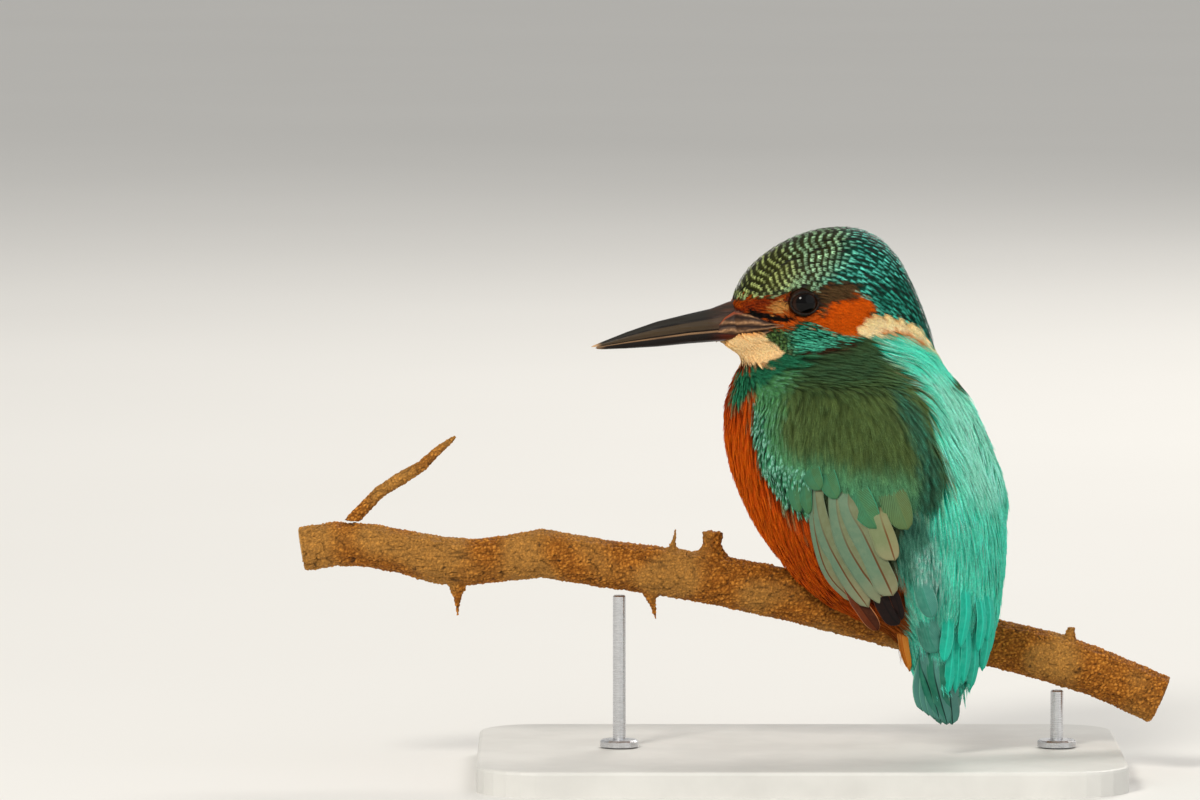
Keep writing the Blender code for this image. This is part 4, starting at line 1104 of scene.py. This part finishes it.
sideVanes = [
    ("buff", 1, 0.8, 1.2, 1, 23.8, 60, 23.2, 49, 22.9, 39, 23.7, 31.6, 25.5, 24.6),
    ("tail", 0, 0.8, 1.2, 1.9, 26.4, 36, 27.5, 26, 29.5, 19.4, 32.4, 12.4),
    ("tail", 1, 0.8, 1.7, 1.9, 29.4, 36, 30.3, 26, 31.6, 19.2, 33.3, 12),
    ("tail", 2, 0.8, 1.8, 2.2, 32.6, 36, 33.3, 26, 33.8, 19, 34.4, 12),
]
rumpVanes = [
    ("rump", 1, 0.66, 2.6, 2.5, 26.8, 46, 27.8, 39, 29.4, 33, 31.2, 29),
    ("rump", 2, 0.66, 2, 2.4, 25.6, 52, 26.8, 46, 28.2, 41.4, 29.8, 37.6),
    ("bright", 6, 0.66, 1.4, 1.4, 34.6, 46, 33.6, 36, 32.6, 27.2),
    ("bright", 3, 0.66, 1.2, 1.2, 36.6, 42, 34.8, 31, 33.3, 19.6),
    ("bright", 4, 0.66, 1, 1, 37.6, 42, 36.2, 31, 34.9, 20),
    ("bright", 0, 0.66, 1.1, 0.8, 44.8, 46, 44.2, 37, 43.2, 28.6),
    ("bright", 4, 0.66, 1.2, 1.1, 43.8, 44, 42.6, 34, 41.1, 25),
    ("bright", 5, 0.66, 1.2, 1.1, 41.2, 42, 39.8, 31, 38.1, 19.3),
    ("bright", 6, 0.66, 1.1, 1.1, 39, 44, 37.8, 33, 36.4, 22.4),
    ("bright", 4, 0.66, 1.1, 1.1, 43.6, 50, 43, 41, 42, 32),
    ("bright", 7, 0.66, 1.1, 1.1, 41.8, 50, 41, 40, 39.8, 29.6),
    ("bright", 7, 0.66, 1.2, 1.2, 38.4, 52, 37.4, 42, 36, 31),
]
tailSet = {"root": (32.2, -16.6, 40.0), "down": (0.02, -0.085, -0.996), "length": 26.6, "shorter": 3.2,
           "count": 10, "spread": 6.3, "half": 2.9, "point": 0.72, "layer": 0.13, "arch": 0.16,
           "droop": 0.014, "shaft": 0.06}


def makeTail():
    down = unit(np.array(tailSet["down"]))
    left = unit(-bodyRight + down * (bodyRight @ down))
    out = np.cross(left, down)
    out = out if out[1] < 0 else -out
    middle = (tailSet["count"] - 1) / 2
    forms = []
    for level, number in enumerate(sorted(range(tailSet["count"]), key=lambda n: -abs(n - middle))):
        place = (number - middle) / middle
        length = tailSet["length"] - tailSet["shorter"] * abs(place) ** 1.6

        def corner(u, v):
            spread = tailSet["spread"] * place * (0.25 + 0.85 * ease(0, 0.8, v))
            across = spread + tailSet["half"] * quillShape(v, tailSet["point"]) * (2 * u - 1)
            high = level * tailSet["layer"] + tailSet["arch"] * arched(u) - tailSet["droop"] * across ** 2
            high += tailSet["shaft"] if abs(u - 0.5) < 0.01 else 0
            return np.array(tailSet["root"]) + down * (length * v) + left * across + out * high

        forms.append(grid(10, 20, corner))
    addPiece("tail_vanes", meshOf("tail_vanes", gather(forms, True)), quillFinishes["tail"], "tail_feathers",
             ["tail"], thickness=drapeSet["thickness"])


makeTail()
tailTree = treeOf(["tail_coverts_upper", "tail_coverts_under", "tail"])
rumpTree = treeOf(["trunk", "tail_coverts_upper", "tail"])
placeQuills("tail_side", sideVanes, tailTree, "tail_feathers", fade=(0.2, 0.5))
placeQuills("rump", rumpVanes, rumpTree, "plumage_turquoise", fade=(0.3, 0.75))
print("tail made")


# eyes: a wet dark ball under lids

eyeSet = {"radius": 3.7, "opening": (2.95, 2.3), "lid": 0.27, "wrinkle": 0.06, "sunk": 0.12, "iris": 0x2C160A,
          "pupil": 0x030202, "lidColour": 0x0E0906, "lidPale": 0x3C2A1C}


def makeBall(side, centre, outward):
    bm = bmesh.new()
    bmesh.ops.create_uvsphere(bm, u_segments=64, v_segments=40, radius=eyeSet["radius"])
    bmesh.ops.translate(bm, verts=bm.verts, vec=Vector(centre))
    finish, wire = newFinish("eye_" + side, Roughness=0.02, Specular_IOR_Level=0.16)
    off = wire.vector("SUBTRACT", {0: wire.node("ShaderNodeTexCoord", output=3), 1: tuple(centre * mm)})
    gap = wire.vector("DISTANCE", {0: off, 1: tuple(outward * eyeSet["radius"] * mm)}, 1) * 1000
    brown = lin(eyeSet["iris"])
    iris = wire.speck(2500, 2).band(0.3, 0.7).blend(brown, tuple(c * 0.45 for c in brown))
    gap.band(2.1, 2.6).blend(eyeSet["pupil"], iris).feed()
    addPiece("eyeball_" + side, meshOf("eyeball_" + side, bm), finish, "eye", ["eye_" + side])


def makeLids(side, centre, outward):
    opening = np.array(eyeSet["opening"])

    def rim(u, v):
        turn, fold = 2 * math.pi * u, 2 * math.pi * v
        heading = np.array((math.cos(turn), math.sin(turn)))
        thick = eyeSet["lid"] + eyeSet["wrinkle"] * math.sin(turn * 9) * math.sin(turn * 4)
        ring = heading * (opening + 0.25)
        ring = ring + ring / np.linalg.norm(ring) * math.cos(fold) * thick
        flat = unit(headForward) * ring[0] + np.array((0, 0, 1.0)) * ring[1]
        depth = math.sqrt(max(0.1, (eyeSet["radius"] + 0.02) ** 2 - ((opening * heading) ** 2).sum()))
        return centre + flat + outward * (depth + math.sin(fold) * thick * 0.8 - eyeSet["sunk"])

    finish, wire = newFinish("lid_" + side, Roughness=0.55, Specular_IOR_Level=0.2)
    wire.speck(1500, 3).band(0.45, 0.75).blend(eyeSet["lidColour"], eyeSet["lidPale"]).feed()
    wire.bump(wire.speck(3000, 3), 0.0001)
    addPiece("lids_" + side, meshOf("lids_" + side, grid(72, 10, rim, True)), finish, "eye")


sides = {"left": (eyeLeft, -headRight), "right": (eyeRight, headRight)}
for side, (centre, outward) in sides.items():
    makeBall(side, centre, outward)
    makeLids(side, centre, outward)
print("eyes made")


# bill: two horn sheaths, and the fleshy gape behind them
# along the bill: x, the heights of the ridge, the parting line and the keel, and the half width

billSet = np.array([
    (-10.0, 111.4, 104.8, 101.6, 5.4), (-14.0, 111.0, 104.4, 101.4, 4.4), (-16.8, 110.2, 104.1, 101.2, 3.9),
    (-20.7, 108.7, 103.8, 100.95, 3.4), (-26.1, 107.5, 103.3, 100.6, 2.8), (-33.3, 105.8, 102.3, 99.95, 2.05),
    (-40.4, 103.4, 101.25, 99.6, 1.3), (-45.8, 101.3, 100.3, 99.45, 0.65), (-48.6, 100.15, 99.9, 99.6, 0.2),
])
billTips = {"ridge": -48.6, "keel": -47.6}


def billSection(share, last):
    x = billSet[0, 0] + (last - billSet[0, 0]) * share
    return [float(np.interp(-x, -billSet[:, 0], column)) for column in billSet.T]


def headPlace(x, across, z):
    place = headMiddle + headForward * ((x - headMiddle[0]) / headForward[0]) - headRight * across
    return np.array((place[0], place[1], z))


def makeBillHalf(half, node):
    name, upper = "bill_" + half, half == "ridge"

    def corner(u, v):
        x, ridge, parting, keel, wide = billSection(v, billTips[half])
        shut = 0 if v < 0.001 or v > 0.999 else 1
        low, high = (parting + 0.04, ridge) if upper else (parting - 0.04, keel)
        across, rise = -1 + (u - 0.8) / 0.2 * 2, 0.0
        if u <= 0.8:
            turn = math.pi * u / 0.8
            across, rise = math.cos(turn), abs(math.sin(turn)) ** 0.8
        if u <= 0.8 and upper:  # a groove along each side, and a narrow ridge
            across *= 1 - math.exp(-((rise - 0.46) / 0.09) ** 2) * 0.07 * ease(-44, -24, x)
            across *= 1 - 0.16 * ease(0.3, 0.95, rise)
        mid = (low + high) / 2
        return headPlace(x, across * wide * shut, mid + (low + (high - low) * rise - mid) * shut)

    finish, wire = newFinish(name, Roughness=0.36, Specular_IOR_Level=0.22)
    low = 1 - abs(wire.across() - 0.4) * 2.5  # 0 at the parting line, 1 at the ridge
    along = wire.across(1)
    grain = wire.speck(900, 4, 0.6, (0.12, 1, 1))
    if upper:
        # the upper sheath from the ridge down: black, a grey band that is painted sheen, a dark line that is
        # painted shade in the groove, a brown facet that is horn colour with painted sheen, and a dark line
        # along the parting that is painted shade
        shade = low.band(0.72, 0.86).blend(0x2C2B27, 0x0C0806)
        for bottom, top, streak in ((0.36, 0.46, 0x0E0907), (0.28, 0.34, 0x423422), (0.01, 0.04, 0x160C08)):
            shade = (1 - low.band(bottom, top)).blend(shade, streak)
    else:
        shade = low.band(0.03, 0.09).blend(0x8C6C4E, 0x0E0603)
        # painted reflection: a reddish-brown glimmer along the keel
        shade = low.band(0.75, 1.0).blend(shade, 0x2E160C)
    shade = grain.band(0.35, 0.7, 0.0, 0.5).blend(shade, 0x1E140D if upper else 0x0E0603)
    root = (1 - along.band(0.16, 0.34)) * grain.band(0.35, 0.7, 0.25, 0.85)
    shade = root.blend(shade, 0x543222 if upper else 0x64220E)
    (along.band(0.93, 0.985) * (0.8 if upper else 0.25)).blend(shade, 0xDCB082).feed()
    grain.band(0.3, 0.7, 0.24, 0.45).feed("Roughness")
    wire.bump(grain, 0.00015, 0.6)
    addPiece(name, meshOf(name, grid(40, 70, corner, True)), finish, "bill", [node])


makeBillHalf("ridge", "bill_upper")
makeBillHalf("keel", "bill_lower")


gapeSet = {
    "top": (-20.5, 104, -18, 106.8, -15.8, 108.2, -13.6, 108.2, -11.4, 107.2, -9, 106.2, -5.4, 105.6),
    "bottom": (-20.5, 103.4, -18, 102.9, -15, 102.5, -12, 102.5, -9.4, 102.9, -7.6, 104.2, -5.4, 105),
    "start": -20.5, "length": 15.1, "corner": (-3.6, 105.3), "folds": 34.0, "depth": 0.3, "rise": 0.42,
    "colours": (0x24120A, 0x684830, 0xC4966A, 0x964628),
}


def makeGape(side, way):
    # loose skin at the corner of the bill, its folds running together towards the cheek
    shades = []
    groove, flesh, crest, red = (np.array(lin(shade)) for shade in gapeSet["colours"])

    def corner(u, v):
        x = gapeSet["start"] + gapeSet["length"] * u
        top, bottom = (np.interp(x, *pairs(gapeSet[edge]).T) for edge in ("top", "bottom"))
        z = bottom + (top - bottom) * v
        middle = headPlace(x, 0, z)
        found = skinTree.ray_cast(Vector(middle + way * 25), Vector(-way))[0]
        across = 0.0 if found is None else (np.array(found) - middle) @ way
        _, ridge, parting, keel, wide = billSection((x + 10) / -38.6, billTips["ridge"])
        rise = (z - parting) / (ridge - parting) if z > parting else (parting - z) / (parting - keel)
        across = max(across, wide * math.sqrt(max(0.0, 1 - min(1, rise) ** 2.5)))
        turn = math.atan2(z - gapeSet["corner"][1], gapeSet["corner"][0] - x)
        wobble = 1.1 * noise.noise(Vector((x * 0.35, turn * 5, 0)))
        wobble += 0.3 * noise.noise(Vector((x * 1.4, z * 1.6, 2)))
        fold = 0.5 + 0.5 * math.sin(turn * gapeSet["folds"] + wobble * 2.4)
        edge = float(ease(0, 0.14, u) * ease(0, 0.1, v) * ease(0, 0.1, 1 - v))
        # painted shade in the troughs of the folds and painted highlights on their crests, over the flesh
        # colour
        shade = groove * (1 - fold) + flesh * fold
        speckle = 0.6 + noise.noise(Vector((x * 2, z * 2, 5)))
        shade = shade + (crest - shade) * max(0, fold - 0.72) * 2.4 * speckle
        shade = shade + (red - shade) * float(ease(0.86, 0.96, v) * (1 - ease(0.3, 0.5, u)))
        shades.append((*np.clip(shade, 0, 1), 1))
        return middle + way * (across - 0.25 + (gapeSet["rise"] + gapeSet["depth"] * fold) * edge)

    bm = grid(56, 40, corner)
    layer = bm.verts.layers.float_color.new("tint")
    for vert, shade in zip(bm.verts, shades):
        vert[layer] = shade
    bmesh.ops.recalc_face_normals(bm, faces=bm.faces)
    middle = Vector(headPlace(-12, 0, 104.5))
    if sum(face.normal.dot(face.calc_center_median() - middle) for face in bm.faces) < 0:
        bmesh.ops.reverse_faces(bm, faces=bm.faces)
    finish, wire = newFinish("gape_" + side, Roughness=0.5, Specular_IOR_Level=0.25)
    wire.mark("tint").feed()
    wire.bump(wire.speck(1700, 4), 0.00012)
    addPiece("gape_" + side, meshOf("gape_" + side, bm), finish, "bill", thickness=0.0003)


for side, (centre, outward) in sides.items():
    makeGape(side, outward)
print("bill made")


# feet and claws: the CAD shapes, rounded and scaled

footSet = {"levels": 2, "toes": (0.07, 2.2), "shank": (0.05, 2.4), "talons": (0, 1)}


def refined(kind, side, nodes, finish, slot):
    parts = [cadCopy(node) for node in nodes]
    for part in parts:
        bmesh.ops.join_triangles(part, faces=part.faces, angle_face_threshold=1.0, angle_shape_threshold=1.2)
    whole = gather(parts)
    for _ in range(footSet["levels"]):
        bmesh.ops.subdivide_edges(whole, edges=whole.edges, cuts=1, use_grid_fill=True, smooth=0.0)
        smoothed(whole)
    rough, scale = footSet[kind]
    for vert in whole.verts:
        vert.co += vert.normal * rough * noise.noise(vert.co * scale)
    addPiece(f"{kind}_{side}", meshOf(f"{kind}_{side}", whole), finish, slot, nodes)


def makeFeet():
    skin, wire = newFinish("footSkin", Roughness=0.45)
    place = wire.node("ShaderNodeTexCoord", output=3)
    inputs = {"Vector": place, "Scale": 1700}
    cells = wire.node("ShaderNodeTexVoronoi", {"feature": "DISTANCE_TO_EDGE"}, inputs)
    shade = wire.speck(1200, 3).band(0.3, 0.7).blend(0xC44222, 0xE2683E)
    (1 - cells.band(0.0, 0.12)).blend(shade, 0x782214).feed()
    wire.bump(cells.band(0, 0.3), 0.00012)
    horn, wire = newFinish("claw", Roughness=0.3)
    wire.speck(900, 3, 0.6).band(0.3, 0.7).blend(0x18100E, 0x3E2C24).feed()
    for side in sides:
        refined("toes", side, ["foot_" + side], skin, "feet")
        refined("shank", side, ["leg_" + side], skin, "feet")
        claws = [f"claw_{side}_{toe}" for toe in ("inner", "middle", "outer", "hind")]
        refined("talons", side, claws, horn, "claws")


makeFeet()
print("feet made")


# branch and twig: bark grown fine enough to carry its own grain

barkSet = {
    "voxel": {"perch_branch": 0.34, "perch_twig": 0.22}, "depth": {"perch_branch": 1.0, "perch_twig": 0.5},
    "light": 0xDE943A, "mid": 0xAA6414, "dark": 0x542C04, "lichen": 0xB08442, "wood": 0xD6AC70,
    "ring": 0x96683A, "fleck": 0x281A0C, "ends": (-115.6, 83.6), "axes": (52.4, 17.2),
    "stub": (-20.3, 50.2, 55.6), "flares": (0.45, 0.12), "relief": (0.34, 0.26, 0.2, 0.12, -0.34),
    "reliefBase": -0.26,
}


def flareStub(bm):
    # the cut stub spreads at its foot and top, and its cut is rough
    middle, foot, top = barkSet["stub"]
    for vert in bm.verts:
        x, z = vert.co.x - middle, vert.co.z
        if abs(x) < 6 and z > foot:
            wider = barkSet["flares"][0] * (1 - ease(foot + 0.6, foot + 3.4, z)) * ease(0, 1.2, z - foot)
            wider += barkSet["flares"][1] * ease(0, 2, z - top + 2)
            vert.co.x += x * float(wider) * float(ease(0, 1, 6 - abs(x)))
            vert.co.z += 0.5 * noise.noise(vert.co * 0.9) * float(ease(-1.5, 0, z - top))


def makeBark(name, node):
    mesh, bm = remeshed(name, cadCopy(node), barkSet["voxel"][node])
    smoothed(bm, 3)
    if node == "perch_branch":
        flareStub(bm)
    keys = ("light", "mid", "dark", "lichen", "wood", "ring")
    light, mid, dark, lichen, wood, ring = (np.array(lin(barkSet[key])) for key in keys)
    low, high = barkSet["ends"]
    shades = []
    for vert in bm.verts:
        co = vert.co
        swell = noise.noise(co * 0.09)
        coarse = noise.noise(Vector((co.x * 0.45, co.y * 0.8, co.z * 0.8)))
        grit = noise.voronoi(co * 1.15)[0]
        grain = min(1.0, (grit[1] - grit[0]) * 1.6)
        fine = noise.noise(co * 2.6)
        crack = max(0.0, 1 - abs(noise.noise(Vector((co.x * 0.16 + 7, co.y * 0.5, co.z * 0.5)))) * 22)
        if node == "perch_branch" and not low <= co.x <= high and abs(vert.normal.x) > 0.6:
            gap = math.hypot(co.y, co.z - barkSet["axes"][int(co.x > 0)])
            wave = 0.5 + 0.5 * math.sin(gap * 7 + noise.noise(co * 0.5) * 2.5)
            pith = 0.5 * ease(4.9, 5.5, gap) + 0.4 * max(0, 1 - gap)
            shade = wood + (ring - wood) * (wave * 0.6) + (dark - wood) * pith
            push = 0.02 * math.sin(co.z * 5) + 0.03 * fine
        else:
            parts = zip(barkSet["relief"], (grain, swell, coarse, fine, crack))
            push = (barkSet["reliefBase"] + sum(a * b for a, b in parts)) * barkSet["depth"][node]
            # lighter on the raised grains and darker between them: bark colour with painted highlight and
            # painted shade
            tone = 0.34 + 0.85 * grain + 0.4 * fine
            shade = dark + (mid - dark) * min(1, tone) + (light - mid) * max(0, min(1, tone - 0.55)) * 1.1
            shade = shade + (lichen - shade) * (0.5 * max(0.0, min(1.0, swell * 2.2 + 0.3 - co.x * 0.004)))
            # the sunken cracks are darker, bark colour with painted shade, and the raised swells lighter,
            # painted highlight
            shade = shade * (1 - 0.6 * crack) * (1 + 0.22 * coarse)
        vert.co = co + vert.normal * push
        shades.append(np.clip(shade, 0, 1))
    bm.to_mesh(mesh)
    moveCorners(mesh, np.array([vert.co for vert in bm.verts]))
    bm.free()
    tintCorners(mesh, np.array(shades))
    mesh.update()
    finish, wire = newFinish(name, Roughness=0.8, Specular_IOR_Level=0.2)
    grain = wire.speck(2300, 4, 0.65)
    shade = wire.vector("SCALE", {0: wire.mark("tint"), 3: grain.band(0.3, 0.7, 0.68, 1.3)})
    wire.speck(420, 2).band(0.66, 0.72, 0, 0.7).blend(shade, barkSet["fleck"]).feed()
    grain.band(0.3, 0.7, 0.9, 0.6).feed("Roughness")
    wire.bump(grain, 0.0003, 0.9)
    addPiece(name, mesh, finish, "bark", [node])
    print(name, len(mesh.polygons) * 2, "triangles")


makeBark("bark_branch", "perch_branch")
makeBark("bark_twig", "perch_twig")


# stand: the CAD shapes with their own finishes


def finishStand():
    paint, wire = newFinish("standPaint", Roughness=0.5)
    wire.speck(60, 3).band(0.3, 0.7).blend(0xD6D5D1, 0xE0DFDB).feed()
    wire.bump(wire.speck(900, 2), 0.00004, 0.5)
    steel, wire = newFinish("standSteel", Roughness=0.3, Metallic=1.0)
    brush = wire.speck(500, 3, 0.6, (1, 1, 14))
    brush.band(0.3, 0.7).blend(0xC4C5C8, 0xDEDFE2).feed()
    brush.band(0.3, 0.7, 0.24, 0.4).feed("Roughness")
    for name, finish in (("stand_base", paint), ("stand_rod_left", steel), ("stand_rod_right", steel)):
        materials = frame["nodes"][name].data.materials
        materials.clear()
        materials.append(finish)


finishStand()
print("branch and stand made")
